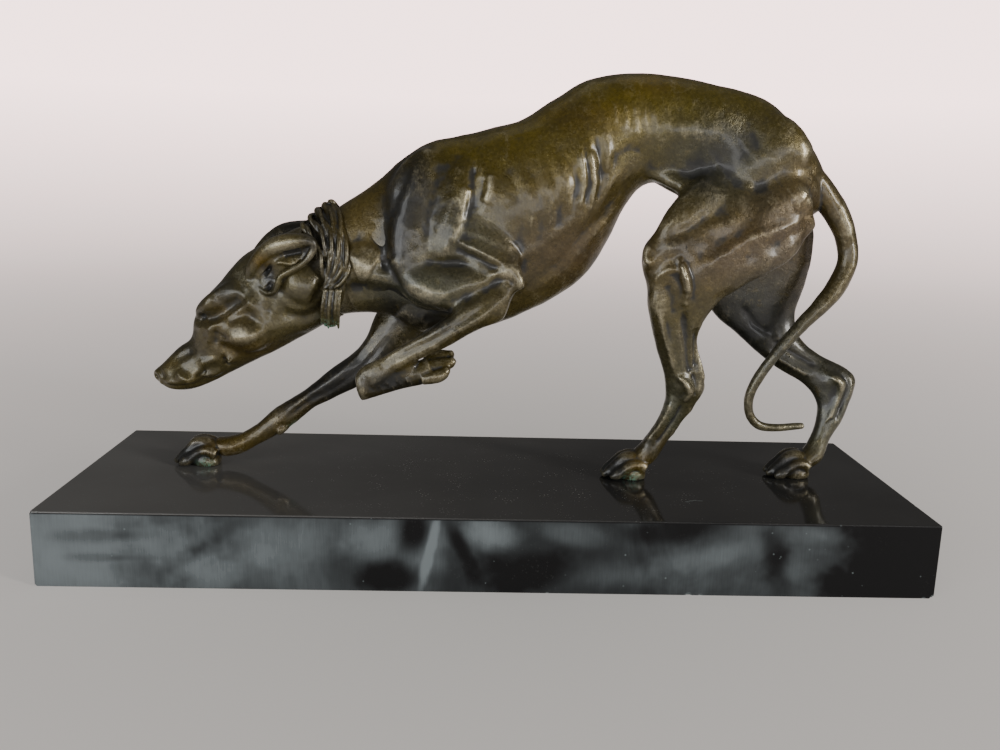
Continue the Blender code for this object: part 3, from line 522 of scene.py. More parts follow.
NECK_STROKES = [
    (6.5, 3.0, [(-100, 153), (-93, 155.5), (-86, 152)]),
    (3.0, -2.4, [(-103, 140), (-96, 141), (-88, 142.5), (-77, 140.5)]),
    (5.0, 2.0, [(-104, 127), (-94, 131), (-84, 133.5)]),
    (6.0, -3.0, [(-81, 137), (-74, 128), (-67, 121)]),
    (3.0, -1.2, [(-100, 168), (-92, 163), (-84, 161)]),
]
RIB_STROKES = [
    (2.2, 2.8, [(55, 240), (57.5, 228), (58.8, 219), (58, 210), (55.5, 198)]),
    (2.4, 3.6, [(60, 240), (63, 231), (65, 222), (65.5, 214), (63, 202)]),
    (1.6, -2.2, [(58, 240), (60, 231), (61.8, 222), (62.5, 214), (60, 202)]),
    (2.4, -2.2, [(65, 250), (68, 238), (70, 226), (70.5, 214), (67, 203)]),
    (2.2, 1.3, [(71, 253), (73, 242), (75, 233), (76, 224)]),
    (2.4, -1.3, [(40.5, 238), (47.5, 228), (52.6, 219), (52.4, 208), (50.5, 196)]),
    (2.6, 1.3, [(43, 226), (46, 214.5), (49, 203.5), (49.2, 193.5), (47.8, 185.6)]),
    (2.4, -1.0, [(31, 232), (37, 216.5), (40.7, 205.5), (41.1, 194), (40, 184)]),
    (2.8, 1.0, [(28, 232), (33.4, 220.8), (37.2, 209.9), (38.2, 198.8), (36.5, 181.9)]),
    (2.8, -0.8, [(20, 226), (27, 211), (30, 196), (29, 180)]),
    (3.0, 0.8, [(12, 226), (20, 210), (24, 194), (23, 174)]),
    (3.2, -0.8, [(6, 222), (13, 207), (17, 190), (16, 170)]),
    (2.8, 1.5, [(11.5, 164), (27, 171), (38.5, 179.6), (56, 193.6), (67, 204), (78, 217.6), (86, 229)]),
    (3.0, -2.0, [(30, 155), (44, 161.5), (55, 175), (61.5, 183.5), (72.4, 192.8), (79, 202), (85, 211)]),
    (2.6, 0.9, [(52, 165), (66, 180), (80, 193)]),
    (2.6, -1.1, [(75, 224), (82, 236), (92, 240), (102, 236)]),
    # brushed fringe over the loin
    (1.3, 0.6, [(77, 272), (78.5, 263), (79, 256)]),
    (1.3, 0.6, [(84, 272), (86, 262), (87, 252)]),
    (1.3, 0.6, [(91, 270), (93.5, 260), (95, 249)]),
    (1.3, 0.6, [(98, 268), (100.5, 258), (102, 247)]),
    (1.3, 0.6, [(105, 268), (107.5, 258), (109, 248)]),
    (1.3, 0.5, [(112, 270), (115, 262), (117, 255)]),
]
NEAR_STROKES = [
    # shoulder blade and upper arm
    (3.4, -3.6, [(-54, 240), (-62, 226), (-67, 211), (-75, 192), (-79, 172), (-77.5, 158)]),
    (2.4, -3.4, [(-78, 162), (-75, 157), (-70, 148), (-63, 138), (-54.7, 131), (-44, 127), (-33, 126)]),
    (5.0, 2.6, [(-75, 162), (-71, 158), (-63, 150), (-52, 142), (-41.4, 137.2), (-29, 135.8)]),
    (3.0, 3.2, [(-21, 214), (-22, 206), (-23.5, 195), (-28, 185), (-33.5, 172)]),
    (2.6, -3.2, [(-17, 228), (-18, 214), (-18.5, 202), (-22.5, 189)]),
    (3.4, 1.2, [(-27, 208), (-34.5, 192), (-40, 178)]),
    (4.2, -2.2, [(-24, 240), (-32.7, 222), (-37.5, 206), (-45, 184)]),
    (2.6, 2.6, [(-4, 222), (-5, 216), (-6.4, 209), (-9, 200)]),
    (2.4, -1.4, [(-11, 220), (-12, 208), (-15, 196)]),
    (2.2, 1.0, [(4.5, 250), (5.5, 240), (4, 230)]),
    (3.0, 0.9, [(-55.5, 173), (-55, 166.5), (-51.7, 162.4), (-42.3, 162.6), (-34, 169), (-31, 176)]),
    (2.0, 2.4, [(-28, 176), (-20.5, 172.7), (-6.8, 166.8), (3.8, 161.9), (14.4, 157.9)]),
    (2.0, -2.4, [(-30, 170.5), (-20, 166.5), (-8, 161.5), (2, 156.5)]),
    (2.2, -1.2, [(-20, 180), (-6, 175), (8, 168)]),
    (2.6, 0.9, [(-58, 186), (-54, 178), (-50, 170)]),
    (2.4, -2.0, [(-34.5, 134.6), (-23, 137.5), (-12.5, 141.8), (-4.2, 146)]),
    # elbow and raised forearm
    (2.2, 2.2, [(-6, 150), (0, 155), (8, 157), (14, 155), (17.5, 150), (17.5, 140)]),
    (2.0, -1.8, [(-8, 144), (0, 149), (8, 150), (12, 146)]),
    (2.2, 1.8, [(-4, 139), (-20, 128), (-39, 115.5), (-56, 107), (-76, 97), (-96, 86)]),
    (2.0, -1.5, [(-6, 134), (-22, 123), (-40, 110), (-58, 101), (-78, 89)]),
    (2.2, 1.8, [(2, 136), (-12, 123), (-28, 114), (-43, 103), (-65, 89), (-81, 78), (-88, 72)]),
    (2.0, 1.2, [(-99, 80), (-95, 72), (-90, 66)]),
    (1.6, -1.2, [(-92, 82), (-88, 74), (-84, 68)]),
    # pads under the raised paw
    (3.4, -1.6, [(-84, 71), (-74, 74), (-62, 78)]),
    (1.3, 1.3, [(-86, 69), (-85, 69.4)]), (1.3, 1.3, [(-81, 73), (-80, 73.4)]),
    (1.2, 1.2, [(-78, 70), (-77, 70.4)]), (1.3, 1.3, [(-75, 75), (-74, 75.4)]),
    (1.3, 1.3, [(-71, 72.6), (-70, 73)]), (1.2, 1.2, [(-68, 77), (-67, 77.4)]),
    (1.2, 1.2, [(-65, 74.4), (-64, 74.8)]), (1.3, 1.3, [(-61, 78), (-60, 78.4)]),
    (1.2, 1.1, [(-58, 75.6), (-57, 76)]),
    # flank and thigh
    (13.0, -4.0, [(182, 254), (170, 248), (158, 240), (148, 231), (141, 220)]),
    (9.0, -1.6, [(172, 244), (162, 236), (152, 228)]),
    (6.5, 1.0, [(100, 245), (116, 250), (130, 252), (143, 254), (155, 252)]),
    (6.0, 1.6, [(170, 218), (152, 213), (139, 206), (122, 194), (108, 182)]),
    (3.4, -1.2, [(175, 203), (157, 200.5), (148, 197), (139, 193), (130.6, 187), (114, 181)]),
    (3.0, 1.2, [(158, 191.6), (148, 191), (136, 185.4), (123, 177), (111, 175.7)]),
    (4.6, -2.0, [(183, 214), (176, 199), (167.5, 189), (154.5, 178), (143, 171.5), (132, 167)]),
    (3.0, 2.2, [(221, 199), (206, 194), (188.5, 186.6), (177, 184), (168, 180.4), (157, 173.3), (147, 166)]),
    (3.0, -1.2, [(214, 189), (198, 180), (182, 174), (168, 166)]),
    (3.2, 1.2, [(219.5, 178), (202, 167.5), (186, 162.5), (172, 157.5), (159, 149), (143, 141.7)]),
    (8.0, 2.6, [(200, 210), (209, 215), (215, 212)]),
    (5.0, -1.6, [(222, 224), (217, 228), (209.8, 229.5), (196, 227), (186, 221), (180, 212)]),
    (3.0, 1.0, [(209, 250), (212, 241), (216, 231)]),
    (2.4, -1.3, [(221.7, 230), (228, 219), (229, 207.6), (228, 195)]),
]
# The lower legs' tendons, carved more crisply
LEG_STROKES = [
    (2.2, 2.2, [(106, 176), (104, 169), (106, 162)]),
    (2.4, 1.0, [(109, 149), (114, 156), (121, 160), (127, 157.5), (130, 150)]),
    (2.4, 3.0, [(126.5, 166), (130, 158), (132.5, 151), (133.5, 143)]),
    (4.0, -0.6, [(107, 155), (111, 162), (119, 167), (128, 167), (135, 162)]),
    (3.2, -0.9, [(118, 150), (122, 140), (126, 126)]),
    (3.0, 1.4, [(130, 158), (132, 146), (133, 132)]),
    (3.4, -2.4, [(131, 132), (136, 112), (140, 92), (143, 84)]),
    (2.0, 1.8, [(147, 119), (148, 101), (150, 88), (154, 76)]),
    (1.8, -1.6, [(143, 116), (144.5, 100), (146, 88)]),
    (2.2, 1.6, [(115, 130), (120, 114), (126, 98), (131, 84)]),
    # hock and long pastern
    (2.0, 2.0, [(133, 82), (138, 78), (142, 70), (138, 62)]),
    (1.8, -1.8, [(144, 84), (147, 76), (147, 66)]),
    (2.0, 1.6, [(131, 64), (128, 52), (122, 40), (114, 28)]),
    (1.8, -1.5, [(138, 62), (134, 50), (128, 38), (121, 27)]),
    (1.8, 1.2, [(147, 60), (140, 46), (132, 33)]),
]
# Inner sides of the far legs
INNER_STROKES = [
    (2.2, 1.6, [(252, 80), (262, 74), (262, 64), (258, 52), (254, 38)]),
    (2.0, -1.6, [(262, 82), (269, 74), (267, 62), (262, 48)]),
    (2.2, 1.4, [(204, 98), (222, 87), (240, 78)]),
    (2.2, -1.4, [(210, 104), (228, 94), (246, 85)]),
    (3.0, -1.4, [(184, 130), (196, 116), (210, 108)]),
    # reaching foreleg
    (2.0, 0.7, [(-84, 110), (-98, 90), (-116, 70), (-138, 55), (-156, 40)]),
    (2.2, -0.6, [(-80, 98), (-96, 79), (-116, 62), (-140, 48), (-158, 33)]),
]
FAR_STROKES = [
    (3.0, -3.0, [(-64, 234), (-72, 224), (-77, 209), (-84, 190), (-86, 170), (-84, 155)]),
    (3.2, 1.8, [(-57, 232), (-66, 218), (-71, 206), (-77, 188), (-79, 168)]),
    (3.6, 2.4, [(-30, 212), (-35, 198), (-41, 180), (-45, 164)]),
    (3.6, -2.2, [(-38, 214), (-44, 198), (-50, 180), (-53, 166)]),
    (3.6, -2.0, [(-16, 220), (-23, 203), (-30, 186)]),
    (3.0, -1.8, [(-40, 164), (-30, 156), (-20, 150)]),
    (3.4, 2.2, [(222, 205), (208, 198), (194, 193), (178, 188), (166, 180)]),
    (4.0, -2.2, [(214, 212), (198, 205), (182, 201), (170, 194)]),
    (4.0, -1.6, [(166, 246), (167, 232), (170, 218)]),
    (3.4, -1.6, [(226, 176), (216, 166), (208, 152), (206, 136)]),
    (3.4, 1.6, [(172, 196), (168, 180), (164, 162), (164, 148)]),
    (2.6, -2.0, [(214, 118), (228, 106), (244, 95), (256, 88)]),
    (2.2, 1.8, [(196, 108), (214, 94), (232, 84), (246, 74)]),
    (2.0, 1.8, [(248, 82), (256, 76), (262, 68), (258, 58)]),
    (1.8, -1.6, [(262, 82), (267, 74), (264, 62), (260, 48)]),
    (2.0, 1.5, [(-86, 112), (-100, 92), (-118, 72), (-140, 56), (-158, 41)]),
    (1.8, -1.4, [(-80, 99), (-96, 80), (-116, 63), (-140, 49), (-158, 34)]),
    (6.0, -2.6, [(152, 232), (162, 241), (172, 252)]),
]

# Patina: middle x and z, reach in x and z, then the tint it pulls towards and how strongly; the dark wax
# zones are painted shade, laid where shade falls
PATINA_ZONES = [
    (60, 285, 220, 50, "olive", 1.0),
    (-20, 235, 70, 40, "olive", 0.9),
    (185, 270, 70, 36, "olive", 0.8),
    (40, 205, 80, 40, "ochre", 0.3),
    (60, 262, 30, 12, "ochre", 0.5),
    (105, 285, 22, 10, "ochre", 0.5),
    (50, 168, 60, 22, "russet", 0.45),
    (-90, 180, 26, 40, "ochre", 0.35),
    (205, 190, 40, 60, "russet", 0.5),
    (165, 170, 40, 26, "russet", 0.5),
    (-180, 120, 60, 55, "slate", 0.4),
    (-190, 118, 26, 14, "ochre", 0.5),
    (-60, 140, 40, 22, "slate", 0.8),
    (-20, 175, 40, 26, "slate", 0.5),
    (150, 235, 45, 28, "slate", 0.7),
    (120, 60, 40, 60, "slate", 0.5),
    (255, 60, 60, 60, "slate", 0.7),
    (190, 120, 30, 40, "slate", 0.9),
    (-215, 12, 30, 16, "ochre", 1.0),
    (110, 13, 12, 10, "ochre", 1.0),
    (128, 32, 6, 14, "ochre", 0.7),
    (225, 12, 24, 12, "ochre", 0.5),
    (-150, 40, 40, 26, "ochre", 0.4),
    (-180, 95, 26, 10, "ochre", 0.6),
    # Painted shade: dark wax laid in the hollows, under the shoulder and the ear, in the ear's hole and on
    # the paws
    (162, 243, 22, 16, "wax_and_shade", 0.62),
    (143, 224, 16, 15, "wax_and_shade", 0.6),
    (-48, 119, 26, 8, "wax_and_shade", 0.85),
    (-72, 126, 12, 10, "wax_and_shade", 0.6),
    (-34, 205, 10, 40, "wax_and_shade", 0.3),
    (-70, 205, 8, 40, "wax_and_shade", 0.35),
    (190, 108, 34, 26, "wax_and_shade", 0.5),
    (-120, 70, 60, 22, "wax_and_shade", 0.45),
    (-208, 117, 6, 5, "wax_and_shade", 0.8),
    (-228, 92, 20, 9, "wax_and_shade", 0.5),
    (-190, 134, 14, 12, "wax_and_shade", 0.5),
    (-128, 172, 7, 22, "wax_and_shade", 0.6),
    (-72, 74, 16, 6, "wax_and_shade", 0.6),
    (120, 175, 16, 10, "wax_and_shade", 0.3),
    (-58, 214, 16, 32, "wax_and_shade", 0.85),
    (-117, 162, 13, 36, "wax_and_shade", 0.5),
    (-71, 185, 9, 34, "wax_and_shade", 0.75),
    (25, 205, 30, 24, "wax_and_shade", 0.3),
    (-141, 164, 10, 5, "wax_and_shade", 0.6),
    (-159.5, 151, 5.5, 5.5, "wax_and_shade", 1.0),
    (-158.5, 144, 4.5, 8, "wax_and_shade", 0.85),
    (-163, 158, 7, 6, "ochre", 0.8),
    (-228, 9, 21, 12, "wax_and_shade", 0.88),
    (-232, 9, 15, 10, "wax_and_shade", 0.8),
    (87, 9, 11, 11, "wax_and_shade", 0.8),
    (213, 9, 13, 13, "wax_and_shade", 0.8),
    (-70, 78, 14, 7, "wax_and_shade", 0.7),
    (-62, 168, 16, 30, "wax_and_shade", 0.35),
    (91, 9, 16, 13, "wax_and_shade", 0.9),
    (220, 9, 18, 15, "wax_and_shade", 0.9),
    (116, 30, 8, 20, "wax_and_shade", 0.45),
    (107, 112, 5, 30, "wax_and_shade", 0.35),
    (131, 48, 8, 24, "slate", 0.7),
    (175, 262, 36, 16, "wax_and_shade", 0.3),
]
# Painted shade of dark wax on the far legs alone, in the same columns
FAR_SHADE_ZONES = [
    (-120, 70, 70, 50, "wax_and_shade", 0.8),
    (200, 120, 60, 50, "wax_and_shade", 0.7),
    (255, 60, 30, 50, "wax_and_shade", 0.5),
    (-148, 176, 26, 16, "wax_and_shade", 0.9),
]
# Painted highlights, laid as pale rubbed metal: middle x and z, reach in x and z, strength
HIGHLIGHT_ZONES = [
    (93, 256, 16, 8, 0.35), (135, 252, 14, 5, 0.25), (57, 220, 3, 16, 0.4), (65, 222, 3, 16, 0.45),
    (-5, 209, 3, 9, 0.4), (-25, 192, 5, 18, 0.45), (-91, 154, 9, 9, 0.4), (213, 240, 4, 10, 0.4),
    (216, 213, 7, 7, 0.35), (131, 154, 4, 9, 0.4), (248, 180, 6, 30, 0.3), (-50, 140, 16, 5, 0.35),
    (-176, 104, 13, 8, 0.55), (-149, 169, 16, 7, 0.6), (-127, 163, 4, 8, 0.4), (118, 130, 5, 20, 0.3),
    (8, 153, 9, 6, 0.4), (148, 92, 5, 20, 0.3), (-70, 94, 30, 6, 0.25),
]
# Verdigris: middle and reach of each spot
VERDIGRIS_SPOTS = [
    (-120, -20, 110, 7), (-110, -18, 113, 6), (-214, 2, 1, 5), (105, -12, 1, 6), (96, 0, 1, 6),
    (-150, 16, 30, 5),
]

# Chips of the plinth's edges, in millimetres: middle and radius
CHIPS = [
    (-300.5, -100.5, 52.5, 2.8), (-295, -100.6, 52.6, 1.5), (300.5, -100.5, -0.5, 3.6),
    (293, -100.6, -0.4, 1.7), (-300.5, -100.5, -0.5, 2.6), (-291, -100.6, -0.5, 1.6),
    (133, -100.9, -0.6, 2.8), (141, -100.7, -0.5, 1.9), (38, -100.7, -0.5, 1.7),
    (300.6, -60, 52.6, 1.8), (-300.6, 20, 52.7, 1.7), (300.5, 100.5, 52.5, 2.4),
    (40, 100.7, 52.7, 1.6), (-120, 100.7, -0.6, 2.2), (-300.5, 100.5, -0.5, 2.4),
    (262, -100.7, 52.7, 1.2),
]

# A pale scratch on the marble's top, in millimetres: middle x and y, half length, half width
TOP_SCRATCH = [
    (137.6, -59.6, 1.9, 0.8), (140.6, -57.6, 1.8, 0.8), (143.4, -56.4, 1.7, 0.8),
    (146.8, -57.2, 2.6, 0.7),
]

# Smears on the plinth's front, partly painted reflection above all in the broad pale patch at the left end,
# in millimetres: middle x and z, half length, half width, turn, strength
SMEARS_AND_REFLECTIONS = [
    (-292, 26, 100, 60, 0, 0.72),
    (-257, 36, 30, 4.5, 2, -0.34), (-254, 21, 26, 3, 0, -0.3), (-287, 21, 7, 7, 0, 0.22),
    (-193, 27, 34, 5.5, 35, -0.26), (-144, 33, 44, 18, 10, 0.3), (-170, 12, 46, 15, 0, 0.14),
    (-74, 37, 22, 13, 15, 0.42), (-51, 41, 11, 13, 0, -0.6), (-67, 10, 26, 10, 0, -0.5),
    (-41, 28, 30, 3.2, 78, 0.9), (-42, 27, 30, 13, 78, 0.45), (-20, 31, 20, 5, -62, -0.35),
    (3, 41, 19, 11, -10, 0.6), (26, 16, 32, 16, 0, -0.5), (57, 42, 30, 8, -5, 0.28),
    (84, 13, 48, 10, 0, 0.2), (142, 27, 42, 8.5, 14, 0.32), (117, 46, 36, 8, 8, -0.3),
    (189, 29, 10, 26, 12, -0.4), (220, 44, 20, 7, -8, 0.26), (206, 19, 12, 10, 0, 0.12),
    (296, 28, 70, 60, 0, -0.9),
]


# Shapes from rows of numbers

def curve_through(rows, count):
    """Rows read at equal steps from a smooth curve through the given ones."""
    rows = [np.array(row, dtype=float) for row in rows]
    rows = [2 * rows[0] - rows[1]] + rows + [2 * rows[-1] - rows[-2]]
    found = []
    for place in np.linspace(0, len(rows) - 3 - 1e-6, count):
        index = int(place)
        t = place - index
        a, b, c, d = rows[index:index + 4]
        bend = (2 * a - 5 * b + 4 * c - d) * t * t + (3 * b - a - 3 * c + d) * t ** 3
        found.append(b + 0.5 * ((c - a) * t + bend))
    return found


def skin(bm, frames, sides, cap):
    """A closed body round a row of frames: middle, upward and sideways half axes, and fullness."""
    rings = len(frames)
    ball = bmesh.ops.create_uvsphere(bm, u_segments=sides, v_segments=rings + 1, radius=1.0)
    ends = (2 * frames[0][0] - frames[1][0], 2 * frames[-1][0] - frames[-2][0])
    for vert in ball["verts"]:
        ring = round(math.acos(max(-1.0, min(1.0, vert.co.z))) / math.pi * (rings + 1))
        if ring in (0, rings + 1):
            first = ring == 0
            middle = frames[0][0] if first else frames[-1][0]
            vert.co = Vector(middle + (ends[0 if first else 1] - middle) * cap)
            continue
        middle, upward, sideways, fullness = frames[ring - 1]
        angle = math.atan2(vert.co.y, vert.co.x)
        width = math.cos(angle) * (1 + fullness * math.sin(angle))
        vert.co = Vector(middle + upward * math.sin(angle) + sideways * width)


def add_loft(bm, cuts):
    """A body through cross sections that stand across the Y axis."""
    frames = []
    for row in curve_through(cuts, ROWS_PER_CUT * (len(cuts) - 1) + 1):
        top = np.array((row[0], row[4], row[1]))
        bottom = np.array((row[2], row[4], row[3]))
        frames.append(((top + bottom) / 2, (top - bottom) / 2, np.array((0, row[5], 0)), row[6]))
    skin(bm, frames, LOFT_SIDES, LOFT_CAP)


def add_limb(bm, path, flat=1.0, sides=LIMB_SIDES, per_point=ROWS_PER_CUT):
    """A body round a line, its sideways half axis being flat times the radius."""
    rows = curve_through(path, per_point * (len(path) - 1) + 1)
    frames = []
    for index, row in enumerate(rows):
        ahead = rows[min(index + 1, len(rows) - 1)][:3]
        behind = rows[max(index - 1, 0)][:3]
        along = (ahead - behind) / np.linalg.norm(ahead - behind)
        upward = np.cross(along, (0, 1, 0))
        upward = upward / np.linalg.norm(upward)
        sideways = np.cross(along, upward)
        frames.append((row[:3], upward * row[3], sideways * row[3] * flat, 0.0))
    skin(bm, frames, sides, LIMB_CAP)


def mirrored(path):
    """The same line on the other side of the figure."""
    return [(row[0], -row[1]) + tuple(row[2:]) for row in path]


def add_pairs(bm, forms):
    """Each flattened form on both sides of the figure."""
    for flat, path in forms:
        for line in (path, mirrored(path)):
            add_limb(bm, line, flat)


# Meshes as arrays

def mesh_of(obj):
    """The object's mesh with its modifiers applied."""
    graph = bpy.context.evaluated_depsgraph_get()
    return bpy.data.meshes.new_from_object(obj.evaluated_get(graph))


def through_modifier(mesh, kind, **values):
    """The mesh after one modifier."""
    holder = bpy.data.objects.new("modelling", mesh)
    bpy.context.scene.collection.objects.link(holder)
    modifier = holder.modifiers.new("shape", kind)
    for name, value in values.items():
        setattr(modifier, name, value)
    made = mesh_of(holder)
    bpy.data.objects.remove(holder)
    bpy.data.meshes.remove(mesh)
    return made


def fuse(bm, name, voxel):
    """Fuse the overlapping bodies of a bmesh into one closed skin."""
    mesh = bpy.data.meshes.new(name)
    bmesh.ops.recalc_face_normals(bm, faces=bm.faces)
    bm.to_mesh(mesh)
    bm.free()
    return through_modifier(mesh, "REMESH", mode="VOXEL", voxel_size=voxel)


def read_points(mesh):
    points = np.empty(len(mesh.vertices) * 3)
    mesh.vertices.foreach_get("co", points)
    return points.reshape(-1, 3)


def read_normals(mesh):
    normals = np.empty(len(mesh.vertices) * 3)
    mesh.vertices.foreach_get("normal", normals)
    return normals.reshape(-1, 3)


def read_edges(mesh):
    edges = np.empty(len(mesh.edges) * 2, dtype=np.int64)
    mesh.edges.foreach_get("vertices", edges)
    return edges.reshape(-1, 2)


def averaged(values, edges, rounds, pull=0.5):
    """Each row moved part of the way to the middle of its neighbours' rows, a number of times."""
    ends = np.concatenate((edges[:, 0], edges[:, 1]))
    others = np.concatenate((edges[:, 1], edges[:, 0]))
    count = np.maximum(np.bincount(ends, minlength=len(values)), 1)[:, None]
    width = values.shape[1]
    for _ in range(rounds):
        middle = np.stack([np.bincount(ends, values[others, k], len(values)) for k in range(width)], axis=1)
        values = values + pull * (middle / count - values)
    return values


def stroke_shift(points, normals, strokes, side, breadth, band):
    """How far strokes seen from one side raise or sink the skin: -1 is the near side, 1 the far one."""
    facing = np.clip(FACING_GAIN * side * normals[:, 1] - FACING_LOSS, 0, 1)
    facing = facing * (side * points[:, 1] > band[0]) * (side * points[:, 1] < band[1])
    shift = np.zeros(len(points))
    flat = points[:, (0, 2)]
    for width, height, line in strokes:
        width = width * breadth
        along = np.array(curve_through(line, STROKE_ROWS * (len(line) - 1) + 1))
        reach = STROKE_REACH * width
        inside = np.all((flat > along.min(axis=0) - reach) & (flat < along.max(axis=0) + reach), axis=1)
        inside = np.nonzero(inside & (facing > 0))[0]
        near = flat[inside]
        nearest = np.full(len(near), np.inf)
        place = np.zeros(len(near))
        pieces = len(along) - 1
        for index in range(pieces):
            start = along[index]
            run = along[index + 1] - start
            t = np.clip((near - start) @ run / (run @ run), 0, 1)
            away = np.linalg.norm(near - start - t[:, None] * run, axis=1)
            closer = away < nearest
            nearest[closer] = away[closer]
            place[closer] = (index + t[closer]) / pieces
        taper = np.clip(np.minimum(place, 1 - place) / STROKE_TAPER, 0, 1)
        taper = STROKE_END + (1 - STROKE_END) * taper * taper * (3 - 2 * taper)
        shift[inside] += height * taper * np.exp(-((nearest / width) ** 2)) * facing[inside]
    return shift


def carve(mesh, jobs, breadth=1.0, lift=1.0, band=OWN_SIDE):
    """Model the skin of a mesh by lists of strokes, each with its side."""
    points = read_points(mesh)
    normals = read_normals(mesh)
    for strokes, side in jobs:
        shift = lift * stroke_shift(points, normals, strokes, side, breadth, band)
        points = points + normals * shift[:, None]
    mesh.vertices.foreach_set("co", points.ravel())
    mesh.update()


def soften(mesh, rounds):
    mesh.vertices.foreach_set("co", averaged(read_points(mesh), read_edges(mesh), rounds).ravel())
    mesh.update()


def lattice_noise(points, size, seed):
    """Smooth noise between -1 and 1, from random values on a lattice with cells of the given size."""
    values = np.random.default_rng(seed).random((LATTICE, LATTICE, LATTICE)) * 2 - 1
    place = points / size
    corner = np.floor(place).astype(np.int64)
    t = place - corner
    t = t * t * (3 - 2 * t)
    total = np.zeros(len(points))
    for step in range(8):
        offset = np.array((step & 1, step >> 1 & 1, step >> 2 & 1))
        index = (corner + offset) % LATTICE
        share = np.prod(np.where(offset, t, 1 - t), axis=1)
        total += share * values[index[:, 0], index[:, 1], index[:, 2]]
    return total


def roughen(mesh, layers):
    """The uneven skin of a hand modelled casting: each layer has a cell size, a height and a seed."""
    points = read_points(mesh)
    normals = read_normals(mesh)
    shift = sum(height * lattice_noise(points, size, seed) for size, height, seed in layers)
    mesh.vertices.foreach_set("co", (points + normals * shift[:, None]).ravel())
    mesh.update()


def cut_at_neck(mesh, keep_front):
    """Keep the part in front of the neck's cut or behind it, and close the cut."""
    bm = bmesh.new()
    bm.from_mesh(mesh)
    normal = Vector((NECK_CUT_LEAN[0], 0, NECK_CUT_LEAN[1]))
    place = Vector((NECK_CUT[0], 0, NECK_CUT[1]))
    faces = [face for face in bm.faces if face.verts[0].co.z > NECK_FLOOR and face.verts[0].co.x < NECK_REAR]
    edges = {edge for face in faces for edge in face.edges}
    verts = {vert for edge in edges for vert in edge.verts}
    geometry = faces + list(edges) + list(verts)
    cut = bmesh.ops.bisect_plane(
        bm, geom=geometry, plane_co=place, plane_no=normal,
        clear_outer=keep_front, clear_inner=not keep_front,
    )
    rim = [item for item in cut["geom_cut"] if isinstance(item, bmesh.types.BMEdge)]
    bmesh.ops.holes_fill(bm, edges=rim, sides=0)
    bmesh.ops.triangulate(bm, faces=[face for face in bm.faces if len(face.verts) > 4])
    bm.to_mesh(mesh)
    bm.free()
    return mesh


def thin_out(mesh, budget):
    """Thin a mesh to a number of triangles, keeping its creases."""
    triangles = sum(len(face.vertices) - 2 for face in mesh.polygons)
    if triangles <= budget:
        return mesh
    return through_modifier(mesh, "DECIMATE", ratio=budget / triangles)


def hollow_measure(points, normals, edges, rounds):
    """How far the skin lies below its smoothed self: above zero in hollows, below it on ridges."""
    smooth = averaged(points, edges, rounds)
    return ((smooth - points) * normals).sum(axis=1)


def add_attribute(mesh, name, values):
    layer = mesh.attributes.new(name, "FLOAT", "POINT")
    layer.data.foreach_set("value", np.ascontiguousarray(values, dtype=np.float32))


def add_tint(mesh, name, colours):
    layer = mesh.attributes.new(name, "FLOAT_COLOR", "POINT")
    full = np.ones((len(colours), 4), dtype=np.float32)
    full[:, :3] = colours
    layer.data.foreach_set("color", full.ravel())


def grown(depth, gain, most):
    """A share that grows with depth, up to the most of it."""
    return np.clip(depth * gain, 0, 1) * most


def zone_share(points, x, z, reach_x, reach_z):
    """One in the middle of a zone seen from the side, and fading out round it."""
    away = ((points[:, 0] - x) / reach_x) ** 2 + ((points[:, 2] - z) / reach_z) ** 2
    return np.exp(-away)


def paint_patina(mesh, tints):
    """Write the patina's tint, the hollows with the painted shade zones, the rubbed ridges with the painted
    highlights and the verdigris into the mesh.
    """
    points = read_points(mesh)
    normals = read_normals(mesh)
    edges = read_edges(mesh)
    fine = hollow_measure(points, normals, edges, FINE_ROUNDS)
    broad = hollow_measure(points, normals, edges, BROAD_ROUNDS)
    recess = grown(fine, *FINE_DIRT) + grown(broad, *BROAD_DIRT)
    ridge = grown(-fine, *FINE_RUB) + grown(-broad, *BROAD_RUB)
    # Painted highlights join the rubbed ridges
    for x, z, reach_x, reach_z, strength in HIGHLIGHT_ZONES:
        ridge += strength * zone_share(points, x, z, reach_x, reach_z)
    colour = np.tile(np.array(tints["brown"]), (len(points), 1))
    far = np.clip(points[:, 1] / FAR_BAND, 0, 1)
    for zones, part in ((PATINA_ZONES, np.ones(len(points))), (FAR_SHADE_ZONES, far)):
        for x, z, reach_x, reach_z, name, strength in zones:
            share = strength * part * zone_share(points, x, z, reach_x, reach_z)
            # Painted shade zones of dark wax also count as dull hollows
            if name == "wax_and_shade":
                recess += SHADE_ZONE_DULLING * share
            colour = colour * (1 - share[:, None]) + np.array(tints[name]) * share[:, None]
    green = np.zeros(len(points))
    for x, y, z, reach in VERDIGRIS_SPOTS:
        away = np.linalg.norm(points - np.array((x, y, z)), axis=1)
        green = np.maximum(green, np.exp(-((away / reach) ** 2)))
    add_tint(mesh, "patina", colour)
    add_attribute(mesh, "recess", np.clip(recess, 0, 1))
    add_attribute(mesh, "ridge", np.clip(ridge, 0, 1))
    add_attribute(mesh, "verdigris", green)


def finish_piece(mesh, name, material, node):
    """Set a figure mesh in the row frame as a finished piece."""
    points = read_points(mesh)
    points[:, 2] = np.maximum(points[:, 2], SEAT_GAP)
    points = points * STEP + np.array((0, 0, MARBLE_TOP))
    mesh.vertices.foreach_set("co", points.ravel())
    mesh.update()
    mesh.name = name
    mesh.materials.clear()
    mesh.materials.append(material)
    mesh.shade_smooth()
    piece = bpy.data.objects.new(name, mesh)
    bpy.context.scene.collection.objects.link(piece)
    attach(piece, "root")
    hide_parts(node)
    return piece


def in_steps(grain):
    """A grain in steps, this many times coarser while trying things out."""
    return grain / STEP * 1.0


